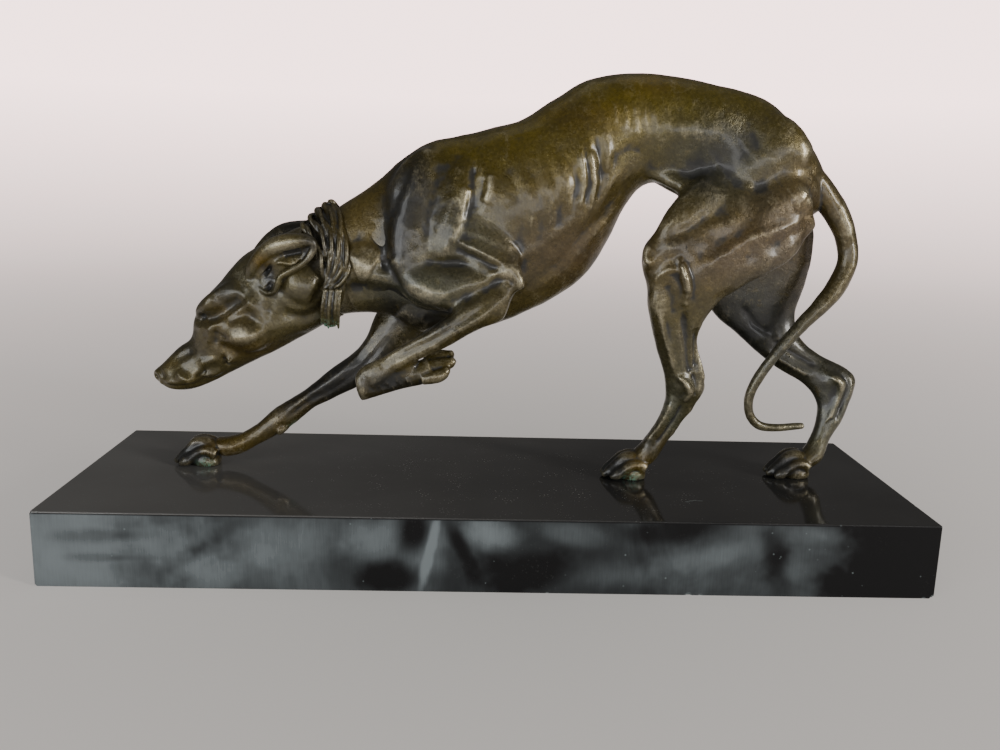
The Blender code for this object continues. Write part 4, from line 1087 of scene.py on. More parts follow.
def softened_masses(add_masses, voxel):
    """Fused and softened masses, as a mesh."""
    bm = bmesh.new()
    add_masses(bm)
    masses = fuse(bm, "masses", voxel)
    soften(masses, max(1, round(MASS_ROUNDS / voxel ** 2)))
    return masses


# Parts of the figure

def knock_chips(mesh, chips, seed):
    """Knock rough chips out of a block: each has its middle and radius, in steps."""
    draw = np.random.default_rng(seed)
    bm = bmesh.new()
    for x, y, z, radius in chips:
        made = bmesh.ops.create_icosphere(bm, subdivisions=2, radius=radius * STEP)
        for vert in made["verts"]:
            vert.co = vert.co * draw.uniform(*CHIP_UNEVEN) + Vector((x, y, z)) * STEP
    tool_mesh = bpy.data.meshes.new("chips")
    bm.to_mesh(tool_mesh)
    bm.free()
    tool = bpy.data.objects.new("chips", tool_mesh)
    bpy.context.scene.collection.objects.link(tool)
    made = through_modifier(mesh, "BOOLEAN", object=tool, operation="DIFFERENCE", solver="EXACT")
    bpy.data.objects.remove(tool)
    bpy.data.meshes.remove(tool_mesh)
    return made


def add_head_masses(bm):
    add_loft(bm, HEAD)
    add_loft(bm, TRUNK[:5])
    add_pairs(bm, FACE)


def add_body_masses(bm):
    for cuts in LOFTS:
        if cuts is not HEAD:
            add_loft(bm, cuts)
    add_pairs(bm, BOTH_SIDES)
    for flat, path in NEAR_SIDE + FAR_SIDE:
        add_limb(bm, path, flat)


def add_ears(bm):
    forward, up = FAR_EAR_LIFT
    for flat, path in EAR + [(EAR_RIM_FLAT, EAR_RIM)]:
        add_limb(bm, mirrored(path), flat)
        add_limb(bm, [(x + forward, y, z + up, radius) for x, y, z, radius in path], flat)


def add_paws(bm):
    for tip_x, middle_y, lift in PAWS:
        for side in (-1, 1):
            for toe, spread in ((MIDDLE_TOE, TOE_SPREAD), (OUTER_TOE, OUTER_SPREAD)):
                last = len(toe) - 1
                path = []
                for index, (behind, height, radius) in enumerate(toe):
                    splay = spread * (1 - TOE_SPLAY + TOE_SPLAY * index / last)
                    path.append((tip_x + behind, middle_y + side * splay, height * lift, radius))
                add_limb(bm, path, sides=SLIM_SIDES)
        pad = [(tip_x + behind, middle_y, height, radius) for behind, height, radius in PAD]
        add_limb(bm, pad, PAD_BREADTH)


def add_scarf(bm):
    """Folds round the neck that swing back on each side and close up at the knot, then cords and fringe."""
    middle_x, middle_z = SCARF_MIDDLE
    beside, above = SCARF_STAND
    for offset, radius, turn in SCARF_FOLDS:
        path = []
        for step in range(SCARF_STEPS + 1):
            angle = -0.5 * math.pi + 2 * math.pi * step / SCARF_STEPS
            height = math.sin(angle)
            close = SCARF_GATHER + (1 - SCARF_GATHER) * (height + 1) / 2
            x = middle_x + offset * close + SCARF_BOW * (1 - height * height) - SCARF_LEAN * height
            sway = 1.0 + SCARF_SWAY * math.sin(2 * angle + turn)
            y = math.cos(angle) * (SCARF_HALF_WIDTH + beside * radius) * sway
            z = middle_z + height * (SCARF_HALF_HEIGHT + above * radius) * sway
            z += NECK_RISE * offset * max(0.0, height)
            path.append((x, y, z, radius))
        add_limb(bm, path, SCARF_FLAT, SLIM_SIDES, SCARF_ROWS)
    add_limb(bm, SCARF_END, SCARF_END_FLAT)
    add_scarf_cords(bm)
    add_fringe(bm)


def around_neck(x, z):
    """A point of the near side of the scarf, on the neck's oval."""
    beside, above = CORD_STAND
    height = (z - SCARF_MIDDLE[1]) / (SCARF_HALF_HEIGHT + above)
    return (x, -(SCARF_HALF_WIDTH + beside) * math.sqrt(max(0.0, 1 - height * height)), z)


def add_scarf_cords(bm):
    """Pairs of cords twisted round each other, laid round the neck."""
    middle_z = SCARF_MIDDLE[1]
    for order, line in enumerate(SCARF_CORDS):
        near = [around_neck(x, z) for x, z in line]
        top = (line[0][0] + CORD_TOP_SHIFT[0], 0, line[0][1] + CORD_TOP_SHIFT[1])
        foot = (line[-1][0] + CORD_FOOT_SHIFT[0], 0, middle_z - SCARF_HALF_HEIGHT + CORD_FOOT_SHIFT[1])
        loop = [top] + near + [foot] + [(x, -y, z) for x, y, z in reversed(near)] + [top]
        middle = curve_through(loop, CORD_POINTS)
        for turn in (0.0, math.pi):
            path = []
            for index, (x, y, z) in enumerate(middle):
                angle = 2 * math.pi * CORD_TURNS * index / CORD_POINTS + turn + order
                out = Vector((0, y, z - middle_z)).normalized() * CORD_TWIST * math.sin(angle)
                path.append((x + CORD_TWIST * math.cos(angle), y + out.y, z + out.z, CORD_RADIUS))
            add_limb(bm, path, sides=CORD_SIDES, per_point=CORD_ROWS)


def add_fringe(bm):
    """Threads that fan out below the knot."""
    for thread in range(FRINGE_COUNT):
        top_x = FRINGE_TOP[0] + FRINGE_STEP[0] * thread
        foot_x = FRINGE_FOOT[0] + FRINGE_STEP[1] * thread
        short = FRINGE_UNEVEN * (thread % 3)
        out = FRINGE_TOP[1] - FRINGE_WAVE * (thread % 2)
        top = (top_x, out, FRINGE_TOP[2])
        foot = (foot_x, FRINGE_FOOT[1], FRINGE_FOOT[2] + short)
        middle = ((top_x + foot_x) / 2, out - FRINGE_BOW, (top[2] + foot[2]) / 2)
        thread_path = [place + (radius,) for place, radius in zip((top, middle, foot), FRINGE_RADII)]
        add_limb(bm, thread_path, sides=CORD_SIDES)


# Node materials

class Nodes:
    """Small helpers round one material's node tree."""

    def __init__(self, name):
        self.material = bpy.data.materials.new(name)
        self.material.use_nodes = True
        self.tree = self.material.node_tree
        self.shader = self.tree.nodes["Principled BSDF"]
        self.place = self.tree.nodes.new("ShaderNodeTexCoord").outputs["Object"]

    def link(self, source, socket):
        self.tree.links.new(source, socket)

    def feed(self, socket, value):
        if isinstance(value, bpy.types.NodeSocket):
            self.link(value, socket)
        else:
            socket.default_value = value

    def scaled(self, scale, turn):
        node = self.tree.nodes.new("ShaderNodeMapping")
        self.link(self.place, node.inputs["Vector"])
        node.inputs["Scale"].default_value = scale
        node.inputs["Rotation"].default_value = turn
        return node.outputs["Vector"]

    def noise(self, scale, detail=3.0, roughness=0.55, distortion=0.0, vector=None):
        node = self.tree.nodes.new("ShaderNodeTexNoise")
        self.link(vector or self.place, node.inputs["Vector"])
        node.inputs["Scale"].default_value = scale
        node.inputs["Detail"].default_value = detail
        node.inputs["Roughness"].default_value = roughness
        node.inputs["Distortion"].default_value = distortion
        return node.outputs["Fac"]

    def drawn_out(self, pattern, scale, turn):
        """Noise that is stretched along an axis, which may be turned."""
        return self.noise(1.0, *pattern, vector=self.scaled(scale, turn))

    def cells(self, scale):
        node = self.tree.nodes.new("ShaderNodeTexVoronoi")
        self.link(self.place, node.inputs["Vector"])
        node.inputs["Scale"].default_value = scale
        return node.outputs["Distance"]

    def ramp(self, source, low, high, low_value=0.0, high_value=1.0, kind="SMOOTHSTEP"):
        node = self.tree.nodes.new("ShaderNodeMapRange")
        node.interpolation_type = kind
        self.link(source, node.inputs["Value"])
        node.inputs["From Min"].default_value = low
        node.inputs["From Max"].default_value = high
        node.inputs["To Min"].default_value = low_value
        node.inputs["To Max"].default_value = high_value
        return node.outputs["Result"]

    def spread(self, noise, low_value, high_value):
        """A noise laid out between two values."""
        return self.ramp(noise, *NOISE_RANGE, low_value, high_value)

    def maths(self, kind, first, second=0.0, third=0.0):
        node = self.tree.nodes.new("ShaderNodeMath")
        node.operation = kind
        for socket, value in zip(node.inputs, (first, second, third)):
            self.feed(socket, value)
        return node.outputs["Value"]

    def add(self, first, second):
        return self.maths("ADD", first, second)

    def less(self, first, second):
        return self.maths("SUBTRACT", first, second)

    def times(self, first, second):
        return self.maths("MULTIPLY", first, second)

    def blend(self, share, first, second, kind="MIX"):
        node = self.tree.nodes.new("ShaderNodeMix")
        node.data_type = "RGBA"
        node.blend_type = kind
        node.clamp_factor = True
        self.feed(node.inputs["Factor"], share)
        for name, value in (("A", first), ("B", second)):
            if not isinstance(value, bpy.types.NodeSocket):
                value = colour_of(value) + (1.0,)
            self.feed(node.inputs[name], value)
        return node.outputs["Result"]

    def oval(self, middle, reach, turn=0.0):
        """Distance from a middle, counted in reaches, along axes turned about Y by degrees."""
        node = self.tree.nodes.new("ShaderNodeMapping")
        node.vector_type = "TEXTURE"
        self.link(self.place, node.inputs["Vector"])
        node.inputs["Location"].default_value = middle
        node.inputs["Rotation"].default_value = (0.0, -math.radians(turn), 0.0)
        node.inputs["Scale"].default_value = reach
        size = self.tree.nodes.new("ShaderNodeVectorMath")
        size.operation = "LENGTH"
        self.link(node.outputs["Vector"], size.inputs[0])
        return size.outputs["Value"]

    def attribute(self, name, output="Fac"):
        node = self.tree.nodes.new("ShaderNodeAttribute")
        node.attribute_name = name
        return node.outputs[output]

    def axis(self, name):
        node = self.tree.nodes.new("ShaderNodeSeparateXYZ")
        self.link(self.place, node.inputs["Vector"])
        return node.outputs[name]

    def bumps(self, layers):
        """Bumps laid over each other: each has its height, its strength and its real height."""
        surface = None
        for height, strength, distance in layers:
            node = self.tree.nodes.new("ShaderNodeBump")
            node.inputs["Strength"].default_value = strength
            node.inputs["Distance"].default_value = distance
            self.link(height, node.inputs["Height"])
            if surface is not None:
                self.link(surface, node.inputs["Normal"])
            surface = node.outputs["Normal"]
        self.link(surface, self.shader.inputs["Normal"])


def colour_of(values):
    return tuple(values)[:3]


def bronze_material(settings):
    """Cast bronze under a dark mottled patina that is rubbed through on the raised forms, with painted
    highlights and painted shade laid in by the mesh's zones.
    """
    made = Nodes(PATINA_NAME)
    shader = made.shader
    clouds = made.noise(*CLOUDS)
    blotches = made.noise(*BLOTCHES)
    speckles = made.noise(*SPECKLES)
    brushed = made.drawn_out(*BRUSHING)
    tone = made.times(made.spread(clouds, *CLOUD_TONE), made.spread(blotches, *BLOTCH_TONE))
    tone = made.times(tone, made.spread(speckles, *SPECKLE_TONE))
    colour = made.blend(1.0, made.attribute("patina", "Color"), tone, "MULTIPLY")
    colour = made.blend(made.ramp(blotches, *GOLD_BLOTCHES), colour, settings.bronze_gold)
    colour = made.blend(made.ramp(speckles, *GOLD_SPECKLES), colour, settings.bronze_gold)
    colour = made.blend(made.ramp(speckles, *DARK_SPECKLES), colour, settings.bronze_recess_and_shade)
    # Rubbed metal on the ridges, together with the painted highlights
    worn_and_highlight = made.add(made.attribute("ridge"), made.spread(speckles, *SPECKLE_WEAR))
    worn_and_highlight = made.add(worn_and_highlight, made.spread(brushed, *BRUSHED_WEAR))
    rubbed_and_highlight = made.ramp(worn_and_highlight, *RUBBED_AND_HIGHLIGHT_SHARE)
    colour = made.blend(rubbed_and_highlight, colour, settings.bronze_rubbed_and_highlight)
    # Dark wax in the hollows, together with the painted shade
    dirt_and_shade = made.add(made.attribute("recess"), made.spread(blotches, *BLOTCH_DIRT))
    dirty_and_shaded = made.ramp(dirt_and_shade, *DIRT_AND_SHADE_SHARE)
    colour = made.blend(dirty_and_shaded, colour, settings.bronze_recess_and_shade)
    green = made.times(made.attribute("verdigris"), made.ramp(speckles, *GREEN_SPECKLES))
    colour = made.blend(green, colour, settings.verdigris)
    made.link(colour, shader.inputs["Base Color"])
    metallic = made.less(settings.metal_share, made.times(dirty_and_shaded, DIRT_METAL))
    metallic = made.add(metallic, made.times(rubbed_and_highlight, RUBBED_METAL))
    made.link(made.less(metallic, green), shader.inputs["Metallic"])
    smoother, rougher = BLOTCH_ROUGHNESS
    rough = made.spread(blotches, settings.roughness + smoother, settings.roughness + rougher)
    rough = made.add(rough, made.spread(speckles, *SPECKLE_ROUGHNESS))
    rough = made.add(rough, made.times(dirty_and_shaded, DIRT_ROUGHNESS))
    rough = made.less(rough, made.times(rubbed_and_highlight, RUBBED_ROUGHNESS))
    made.link(rough, shader.inputs["Roughness"])
    shader.inputs["Coat Weight"].default_value = WAX_COAT
    shader.inputs["Coat Roughness"].default_value = WAX_ROUGHNESS
    made.bumps([
        (made.noise(*DENTS), *DENT_BUMP),
        (speckles, *SPECKLE_BUMP),
        (brushed, *BRUSHED_BUMP),
        (made.noise(*GRIT), *GRIT_BUMP),
        (made.ramp(made.cells(PIT_CELLS), *PIT_DEPTH), *PIT_BUMP),
    ])
    return made.material


def marble_material(settings):
    """Polished black marble: dust and scratches on top under a film of painted reflection, cloudy wiped
    smears on the upright faces, partly painted reflection.
    """
    made = Nodes("wiped_marble")
    shader = made.shader
    height = made.axis("Z")
    on_top = made.ramp(height, *(MARBLE_TOP - depth for depth in TOP_DEPTHS))
    in_front = made.ramp(made.axis("Y"), *(PLINTH_LOW.y + depth for depth in FRONT_DEPTHS))
    below_edge = made.ramp(height, *(MARBLE_TOP - depth for depth in EDGE_DEPTHS))
    drift = made.noise(*DRIFT)
    mist = made.drawn_out(*MIST)
    # Wiped smears on the front, partly painted reflection
    smears_and_reflection = made.add(made.ramp(mist, *FRONT_MIST), settings.smear_base)
    for x, z, along, across, turn, strength in SMEARS_AND_REFLECTIONS:
        away = made.oval((x * STEP, 0, z * STEP), (along * STEP, EVERYWHERE, across * STEP), turn)
        away = made.add(away, made.spread(drift, *SMEAR_DRIFT))
        smears_and_reflection = made.add(smears_and_reflection, made.ramp(away, *SMEAR_EDGE, 0.0, strength))
    hazed = made.times(made.ramp(mist, *SIDE_MIST), made.less(1.0, in_front))
    share = made.add(made.times(smears_and_reflection, in_front), hazed)
    share = made.times(share, made.spread(made.drawn_out(*HAIRS), *HAIR_TONE))
    share = made.ramp(share, *SMEAR_CONTRAST)
    share = made.times(share, made.times(below_edge, settings.smear_and_reflection))
    colour = made.blend(share, settings.marble_dark, settings.marble_smear_and_reflection)
    dust = made.ramp(made.cells(DUST_CELLS), *DUST_GRAINS)
    dust = made.times(dust, made.ramp(made.noise(*DUST_PATCHES), *DUST_CLUMPS))
    field = made.ramp(made.oval((*DUST_MIDDLE, MARBLE_TOP), (*DUST_REACH, EVERYWHERE)), *DUST_FIELD)
    dust = made.times(dust, made.times(field, made.add(DUST_OFF_TOP, on_top)))
    spots = made.ramp(made.cells(SPOT_CELLS), *SPOT_DOTS)
    spots = made.times(spots, made.ramp(made.noise(*SPOT_PATCHES), *SPOT_CLUMPS))
    spots = made.times(spots, made.ramp(on_top, *SPOTS_ON_TOP))
    colour = made.blend(made.times(dust, settings.dust), colour, settings.dust_and_sheen_colour)
    colour = made.blend(made.times(spots, SPOT_STRENGTH), colour, settings.spot_colour)
    for x, y, z, radius in CHIPS:
        away = made.oval((x * STEP, y * STEP, z * STEP), (radius * STEP,) * 3)
        colour = made.blend(made.ramp(away, *CHIP_WHITE), colour, settings.spot_colour)
    for x, y, along, across in TOP_SCRATCH:
        away = made.oval((x * STEP, y * STEP, MARBLE_TOP), (along * STEP, across * STEP, 1.0))
        colour = made.blend(made.ramp(away, *SCRATCH_WHITE), colour, settings.spot_colour)
    # Painted reflection on the top, laid as a pale film that grows towards the left
    film_and_reflection = made.times(on_top, made.spread(made.noise(*FILM_REFLECTION_PATCHES), *FILM_REFLECTION_TONE))
    film_and_reflection = made.add(film_and_reflection, made.times(on_top, made.ramp(made.axis("X"), *REFLECTION_LEFTWARDS)))
    colour = made.blend(film_and_reflection, colour, settings.dust_and_sheen_colour)
    made.link(colour, shader.inputs["Base Color"])
    rough = made.spread(made.noise(*POLISH_PATCHES), *POLISH_TONE)
    rough = made.add(rough, made.times(share, SMEAR_ROUGHNESS))
    rough = made.add(rough, made.times(dust, DUST_ROUGHNESS))
    made.link(rough, shader.inputs["Roughness"])
    shader.inputs["Specular IOR Level"].default_value = MARBLE_SHEEN
    made.bumps([
        (made.noise(*POLISH_GRAIN), *POLISH_BUMP),
        (made.drawn_out(*SCRATCHES), *SCRATCH_BUMP),
    ])
    return made.material


def studio_material(name, settings):
    """Pale paper that glows, its colour and its glow growing lighter away from the object, and up the bowl
    round it: painted light.
    """
    made = Nodes(name)
    far = made.oval((0, 0, 0), (1, 1, EVERYWHERE))
    climb = made.maths("MULTIPLY_ADD", far, PAPER_SPREAD, made.axis("Z"))
    share = made.ramp(climb, 0.0, PAPER_RISE, kind="LINEAR")
    colour = made.blend(share, settings.paper_low, settings.paper_high)
    glow = made.ramp(climb, 0.0, PAPER_RISE, settings.glow_low, settings.glow_high, "LINEAR")
    made.link(colour, made.shader.inputs["Base Color"])
    made.link(colour, made.shader.inputs["Emission Color"])
    made.link(glow, made.shader.inputs["Emission Strength"])
    made.shader.inputs["Roughness"].default_value = PAPER_ROUGHNESS
    made.shader.inputs["Specular IOR Level"].default_value = PAPER_SHEEN
    return made.material


# Settings shown in the panel

class HoundSettings(PropertyGroup):
    fine_grain: FloatProperty(
        name="Fine grain", description="Grain of the body's skin",
        default=0.00085, unit="LENGTH", precision=5)
    head_grain: FloatProperty(
        name="Head grain", description="Grain of the head's skin",
        default=0.00060, unit="LENGTH", precision=5)
    body_triangles: IntProperty(
        name="Body triangles", description="Most triangles in the body", default=194000, min=1000)
    head_triangles: IntProperty(
        name="Head triangles", description="Most triangles in the head", default=170000, min=1000)
    scarf_triangles: IntProperty(
        name="Scarf triangles", description="Most triangles in the scarf", default=90000, min=1000)
    bronze_brown: FloatVectorProperty(
        name="Brown", description="Tint of the patina", default=(0.074, 0.057, 0.016), subtype="COLOR")
    bronze_olive: FloatVectorProperty(
        name="Olive", description="Patina along the back", default=(0.088, 0.066, 0.001), subtype="COLOR")
    bronze_ochre: FloatVectorProperty(
        name="Ochre", description="Golden patina on flank and paws",
        default=(0.115, 0.073, 0.008), subtype="COLOR")
    bronze_russet: FloatVectorProperty(
        name="Russet", description="Reddish patina on belly and haunch",
        default=(0.100, 0.062, 0.032), subtype="COLOR")
    bronze_slate: FloatVectorProperty(
        name="Slate", description="Grey green patina on head and legs",
        default=(0.060, 0.066, 0.046), subtype="COLOR")
    bronze_gold: FloatVectorProperty(
        name="Gold", description="Thin spots of the patina", default=(0.26, 0.19, 0.06), subtype="COLOR")
    # Pale rubbed metal, also the colour of the painted highlights
    bronze_rubbed_and_highlight: FloatVectorProperty(
        name="Rubbed", description="Metal where it is rubbed bare",
        default=(0.44, 0.39, 0.26), subtype="COLOR")
    # Dark wax, also the colour of the painted shade zones
    bronze_recess_and_shade: FloatVectorProperty(
        name="Recess", description="Dark wax in the hollows",
        default=(0.008, 0.008, 0.007), subtype="COLOR")
    verdigris: FloatVectorProperty(
        name="Verdigris", description="Green corrosion", default=(0.08, 0.26, 0.19), subtype="COLOR")
    metal_share: FloatProperty(
        name="Metal share", description="How metallic the patina is",
        default=0.42, min=0, max=1, subtype="FACTOR")
    roughness: FloatProperty(
        name="Roughness", description="Roughness of the waxed patina",
        default=0.3, min=0, max=1, subtype="FACTOR")


class PlinthSettings(PropertyGroup):
    arris: FloatProperty(
        name="Arris", description="Worn edge of the block", default=0.0008, unit="LENGTH", precision=5)
    marble_dark: FloatVectorProperty(
        name="Marble", description="Colour of the marble", default=(0.004, 0.004, 0.0045), subtype="COLOR")
    # Colour of the smears and of the painted reflection on the front
    marble_smear_and_reflection: FloatVectorProperty(
        name="Smear", description="Colour of the wiped smears",
        default=(0.155, 0.178, 0.185), subtype="COLOR")
    # Colour of the dust, and of the painted reflection on the top
    dust_and_sheen_colour: FloatVectorProperty(
        name="Dust", description="Colour of dust and specks", default=(0.45, 0.44, 0.42), subtype="COLOR")
    smear_base: FloatProperty(
        name="Haze", description="Even haze on the front", default=0.22, min=0, max=1, subtype="FACTOR")
    spot_colour: FloatVectorProperty(
        name="Spots", description="Colour of the dried drops", default=(0.16, 0.19, 0.19), subtype="COLOR")
    # Strength of the smears and of the painted reflection among them
    smear_and_reflection: FloatProperty(
        name="Smears", description="How strong the smears are", default=1.0, min=0, max=2, subtype="FACTOR")
    dust: FloatProperty(
        name="Dust share", description="How strong the dust is",
        default=0.6, min=0, max=1, subtype="FACTOR")


class StageSettings(PropertyGroup):
    paper_low: FloatVectorProperty(
        name="Floor", description="Colour of the floor", default=(0.42, 0.41, 0.39), subtype="COLOR")
    paper_high: FloatVectorProperty(
        name="Backdrop", description="Colour high up on the backdrop",
        default=(0.98, 0.71, 0.69), subtype="COLOR")
    glow_low: FloatProperty(
        name="Floor glow", description="Light that the floor gives off", default=0.64, min=0)
    glow_high: FloatProperty(
        name="Backdrop glow", description="Light that the backdrop gives off", default=3.8, min=0)
    key_power: FloatProperty(
        name="Key light", description="Soft light on the right", default=44.0, min=0, unit="POWER")
    fill_power: FloatProperty(
        name="Fill light", description="Soft light on the left", default=29.0, min=0, unit="POWER")
    top_power: FloatProperty(
        name="Top light", description="Soft light from above", default=1.0, min=0, unit="POWER")
    low_power: FloatProperty(
        name="Low light", description="Long low light in front", default=17.0, min=0, unit="POWER")
    room: FloatVectorProperty(
        name="Room", description="Dim light all round", default=(0.12, 0.115, 0.11), subtype="COLOR")
    lens: FloatProperty(name="Lens", description="Focal length in millimetres", default=34.46, min=1)


def hound_tints(settings):
    return {
        "brown": colour_of(settings.bronze_brown),
        "olive": colour_of(settings.bronze_olive),
        "ochre": colour_of(settings.bronze_ochre),
        "russet": colour_of(settings.bronze_russet),
        "slate": colour_of(settings.bronze_slate),
        # the dark wax colour is also the painted shade
        "wax_and_shade": colour_of(settings.bronze_recess_and_shade),
    }


def shared_bronze(settings):
    return bpy.data.materials.get(PATINA_NAME) or bronze_material(settings)


# Operators

class GREYHOUND_OT_head(Operator):
    """Model the lowered head with its ears and the front of the neck"""
    bl_idname = "greyhound.head"
    bl_label = "Head"

    def execute(self, context):
        settings = context.scene.hound_settings
        voxel = in_steps(settings.head_grain)
        masses = softened_masses(add_head_masses, HEAD_MASS_GRAIN)
        carve(masses, [(HEAD_STROKES, -1), (HEAD_STROKES, 1)], HEAD_BREADTH, HEAD_LIFT)
        carve(masses, [(MOUTH_STROKES, -1), (MOUTH_STROKES, 1)], MOUTH_BREADTH, MOUTH_LIFT)
        bm = bmesh.new()
        add_ears(bm)
        bm.from_mesh(masses)
        bpy.data.meshes.remove(masses)
        mesh = fuse(bm, "head", voxel)
        soften(mesh, max(1, round(SKIN_ROUNDS / voxel ** 2)))
        carve(mesh, [(EAR_STROKES, -1), (EAR_STROKES, 1)])
        soften(mesh, 1)
        roughen(mesh, HEAD_LUMPS)
        mesh = thin_out(cut_at_neck(mesh, True), settings.head_triangles)
        paint_patina(mesh, hound_tints(settings))
        finish_piece(mesh, "head", shared_bronze(settings), "greyhound")
        return {"FINISHED"}


class GREYHOUND_OT_body(Operator):
    """Model the trunk, legs, paws and tail"""
    bl_idname = "greyhound.body"
    bl_label = "Body"

    def execute(self, context):
        settings = context.scene.hound_settings
        voxel = in_steps(settings.fine_grain)
        masses = softened_masses(add_body_masses, BODY_MASS_GRAIN)
        bm = bmesh.new()
        add_limb(bm, TAIL)
        add_limb(bm, DEWCLAW)
        add_paws(bm)
        for flat, path in RAISED_PAW:
            add_limb(bm, path, flat, sides=SLIM_SIDES)
        bm.from_mesh(masses)
        bpy.data.meshes.remove(masses)
        mesh = fuse(bm, "body", voxel)
        soften(mesh, max(1, round(SKIN_ROUNDS / voxel ** 2)))
        both = RIB_STROKES + NECK_STROKES
        carve(mesh, [(both + NEAR_STROKES, -1), (both + FAR_STROKES, 1)], STROKE_BREADTH, STROKE_LIFT)
        carve(mesh, [(LEG_STROKES, -1)], LEG_BREADTH, LEG_LIFT)
        carve(mesh, [(INNER_STROKES, -1)], LEG_BREADTH, LEG_LIFT, INNER_SIDE)
        soften(mesh, 1)
        roughen(mesh, BODY_LUMPS)
        mesh = thin_out(cut_at_neck(mesh, False), settings.body_triangles)
        paint_patina(mesh, hound_tints(settings))
        finish_piece(mesh, "body", shared_bronze(settings), "greyhound")
        return {"FINISHED"}


class GREYHOUND_OT_scarf(Operator):
    """Model the scarf knotted round the neck"""
    bl_idname = "greyhound.scarf"
    bl_label = "Scarf"

    def execute(self, context):
        settings = context.scene.hound_settings
        bm = bmesh.new()
        add_scarf(bm)
        mesh = fuse(bm, "scarf", in_steps(settings.head_grain))
        mesh = thin_out(mesh, settings.scarf_triangles)
        paint_patina(mesh, hound_tints(settings))
        finish_piece(mesh, "scarf", shared_bronze(settings), "greyhound")
        return {"FINISHED"}


class GREYHOUND_OT_plinth(Operator):
    """Model the marble block with its worn edges and chips"""
    bl_idname = "greyhound.plinth"
    bl_label = "Plinth"

    def execute(self, context):
        settings = context.scene.plinth_settings
        size = PLINTH_HIGH - PLINTH_LOW
        middle = (PLINTH_HIGH + PLINTH_LOW) / 2
        bm = bmesh.new()
        bmesh.ops.create_cube(bm, size=1.0)
        bmesh.ops.scale(bm, verts=bm.verts, vec=size)
        bmesh.ops.translate(bm, verts=bm.verts, vec=middle)
        bmesh.ops.bevel(
            bm, geom=bm.edges[:], offset=settings.arris, segments=3, profile=0.5, affect="EDGES", material=-1)
        mesh = bpy.data.meshes.new("marble_block")
        bm.to_mesh(mesh)
        bm.free()
        mesh = knock_chips(mesh, CHIPS, CHIP_SEED)
        mesh.name = "marble_block"
        mesh.materials.clear()
        mesh.materials.append(marble_material(settings))
        piece = bpy.data.objects.new("marble_block", mesh)
        context.scene.collection.objects.link(piece)
        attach(piece, "root")
        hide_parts("plinth")
        return {"FINISHED"}


def camera_matrix():
    yaw, pitch, roll = CAMERA_TURN
    turn = Matrix.Rotation(yaw, 3, "Z") @ Matrix.Rotation(pitch, 3, "X") @ Matrix.Rotation(roll, 3, "Y")
    turn = turn @ Matrix.Rotation(math.pi / 2, 3, "X")
    return Matrix.Translation(CAMERA_PLACE) @ turn.to_4x4()


def add_soft_light(scene, name, place, aim, size, power, colour):
    light = bpy.data.lights.new(name, "AREA")
    light.shape = "RECTANGLE"
    light.size, light.size_y = size
    light.energy = power
    light.color = colour
    lamp = bpy.data.objects.new(name, light)
    lamp.location = place
    lamp.rotation_mode = "QUATERNION"
    lamp.rotation_quaternion = (Vector(aim) - Vector(place)).to_track_quat("-Z", "Y")
    scene.collection.objects.link(lamp)


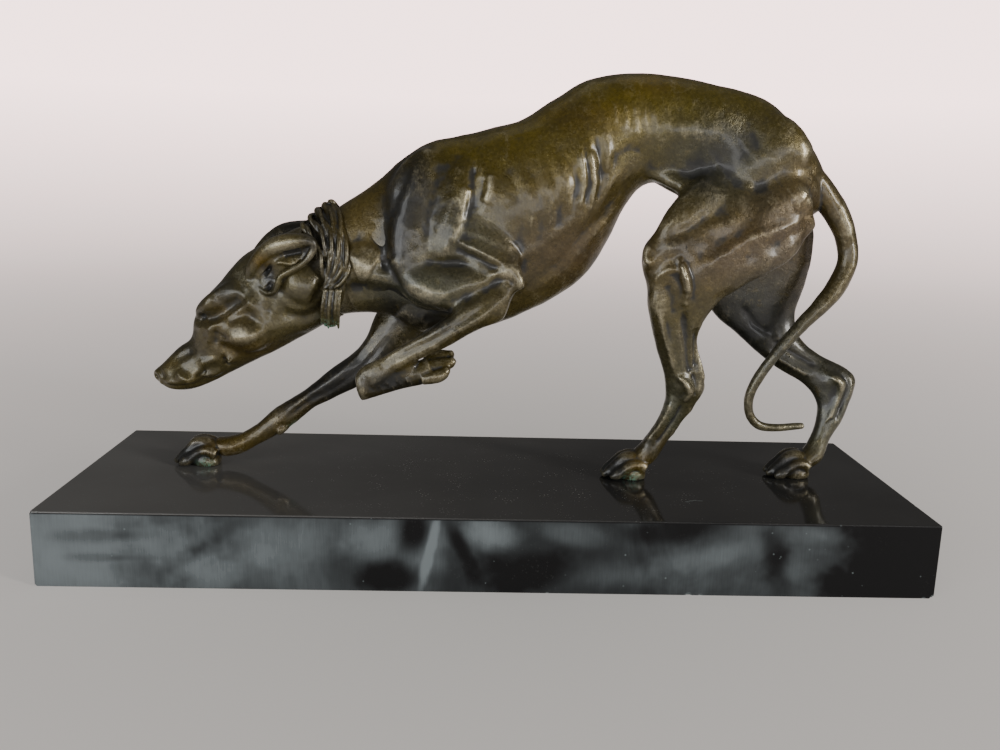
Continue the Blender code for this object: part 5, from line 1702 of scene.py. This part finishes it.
class GREYHOUND_OT_stage(Operator):
    """Set up the floor, the backdrop, the lights and the camera"""
    bl_idname = "greyhound.stage"
    bl_label = "Stage"

    def execute(self, context):
        scene = context.scene
        settings = scene.stage_settings
        floor = self.add_round_floor(scene)
        floor.data.materials.append(studio_material("pale_floor", settings))
        bowl = self.add_bowl(scene)
        bowl.data.materials.append(studio_material("backdrop_paper", settings))
        bowl.visible_diffuse = False
        bowl.visible_glossy = False
        bowl.visible_shadow = False
        for name, place, aim, size, colour in LIGHTS:
            add_soft_light(scene, name, place, aim, size, getattr(settings, name + "_power"), colour)
        world = bpy.data.worlds.new("studio")
        world.use_nodes = True
        world.node_tree.nodes["Background"].inputs["Color"].default_value = colour_of(settings.room) + (1,)
        scene.world = world
        camera = bpy.data.cameras.new("camera")
        camera.sensor_fit = "HORIZONTAL"
        camera.sensor_width = SENSOR_WIDTH
        camera.lens = settings.lens
        camera.clip_start = CLIP_START
        viewer = bpy.data.objects.new("camera", camera)
        scene.collection.objects.link(viewer)
        viewer.matrix_world = camera_matrix()
        scene.camera = viewer
        return {"FINISHED"}

    def add_round_floor(self, scene):
        bm = bmesh.new()
        bmesh.ops.create_circle(bm, cap_ends=True, cap_tris=True, segments=BOWL_SIDES, radius=FLOOR_RADIUS)
        return self.placed(scene, "floor", bm)

    def add_bowl(self, scene):
        """The paper from the floor's rim outwards and up, all the way round."""
        bm = bmesh.new()
        bend = BOWL_RADIUS - BOWL_BEND
        profile = [(FLOOR_RADIUS, 0), (bend, 0)]
        for step in range(1, BOWL_STEPS + 1):
            angle = 0.5 * math.pi * step / BOWL_STEPS
            profile.append((bend + BOWL_BEND * math.sin(angle), BOWL_BEND * (1 - math.cos(angle))))
        profile.append((BOWL_RADIUS, BOWL_HEIGHT))
        verts = [bm.verts.new((x, 0, z)) for x, z in profile]
        for first, second in zip(verts, verts[1:]):
            bm.edges.new((first, second))
        bmesh.ops.spin(
            bm, geom=bm.verts[:] + bm.edges[:], axis=(0, 0, 1), cent=(0, 0, 0), angle=2 * math.pi,
            steps=BOWL_SIDES, use_merge=True)
        for face in bm.faces:
            face.smooth = True
        return self.placed(scene, "backdrop", bm)

    def placed(self, scene, name, bm):
        mesh = bpy.data.meshes.new(name)
        bm.to_mesh(mesh)
        bm.free()
        sheet = bpy.data.objects.new(name, mesh)
        scene.collection.objects.link(sheet)
        return sheet


class GREYHOUND_PT_panel(Panel):
    """The greyhound's parts and sizes"""
    bl_idname = "GREYHOUND_PT_panel"
    bl_label = "Greyhound"
    bl_space_type = "VIEW_3D"
    bl_region_type = "UI"
    bl_category = "Greyhound"

    def draw(self, context):
        column = self.layout.column(align=True)
        for operator in OPERATORS:
            column.operator(operator.bl_idname)
        for title, settings in (
            ("Hound", context.scene.hound_settings),
            ("Plinth", context.scene.plinth_settings),
            ("Stage", context.scene.stage_settings),
        ):
            box = self.layout.box()
            box.label(text=title)
            for name in settings.bl_rna.properties.keys():
                if name not in ("rna_type", "name"):
                    box.prop(settings, name)


OPERATORS = (
    GREYHOUND_OT_head,
    GREYHOUND_OT_body,
    GREYHOUND_OT_scarf,
    GREYHOUND_OT_plinth,
    GREYHOUND_OT_stage,
)
SETTINGS = (HoundSettings, PlinthSettings, StageSettings)


def register():
    for item in SETTINGS + OPERATORS + (GREYHOUND_PT_panel,):
        bpy.utils.register_class(item)
    bpy.types.Scene.hound_settings = PointerProperty(type=HoundSettings)
    bpy.types.Scene.plinth_settings = PointerProperty(type=PlinthSettings)
    bpy.types.Scene.stage_settings = PointerProperty(type=StageSettings)


def unregister():
    del bpy.types.Scene.stage_settings
    del bpy.types.Scene.plinth_settings
    del bpy.types.Scene.hound_settings
    for item in reversed(SETTINGS + OPERATORS + (GREYHOUND_PT_panel,)):
        bpy.utils.unregister_class(item)


def main():
    register()
    bpy.ops.greyhound.head()
    bpy.ops.greyhound.body()
    bpy.ops.greyhound.scarf()
    bpy.ops.greyhound.plinth()
    bpy.ops.greyhound.stage()


if __name__ == "__main__":
    main()
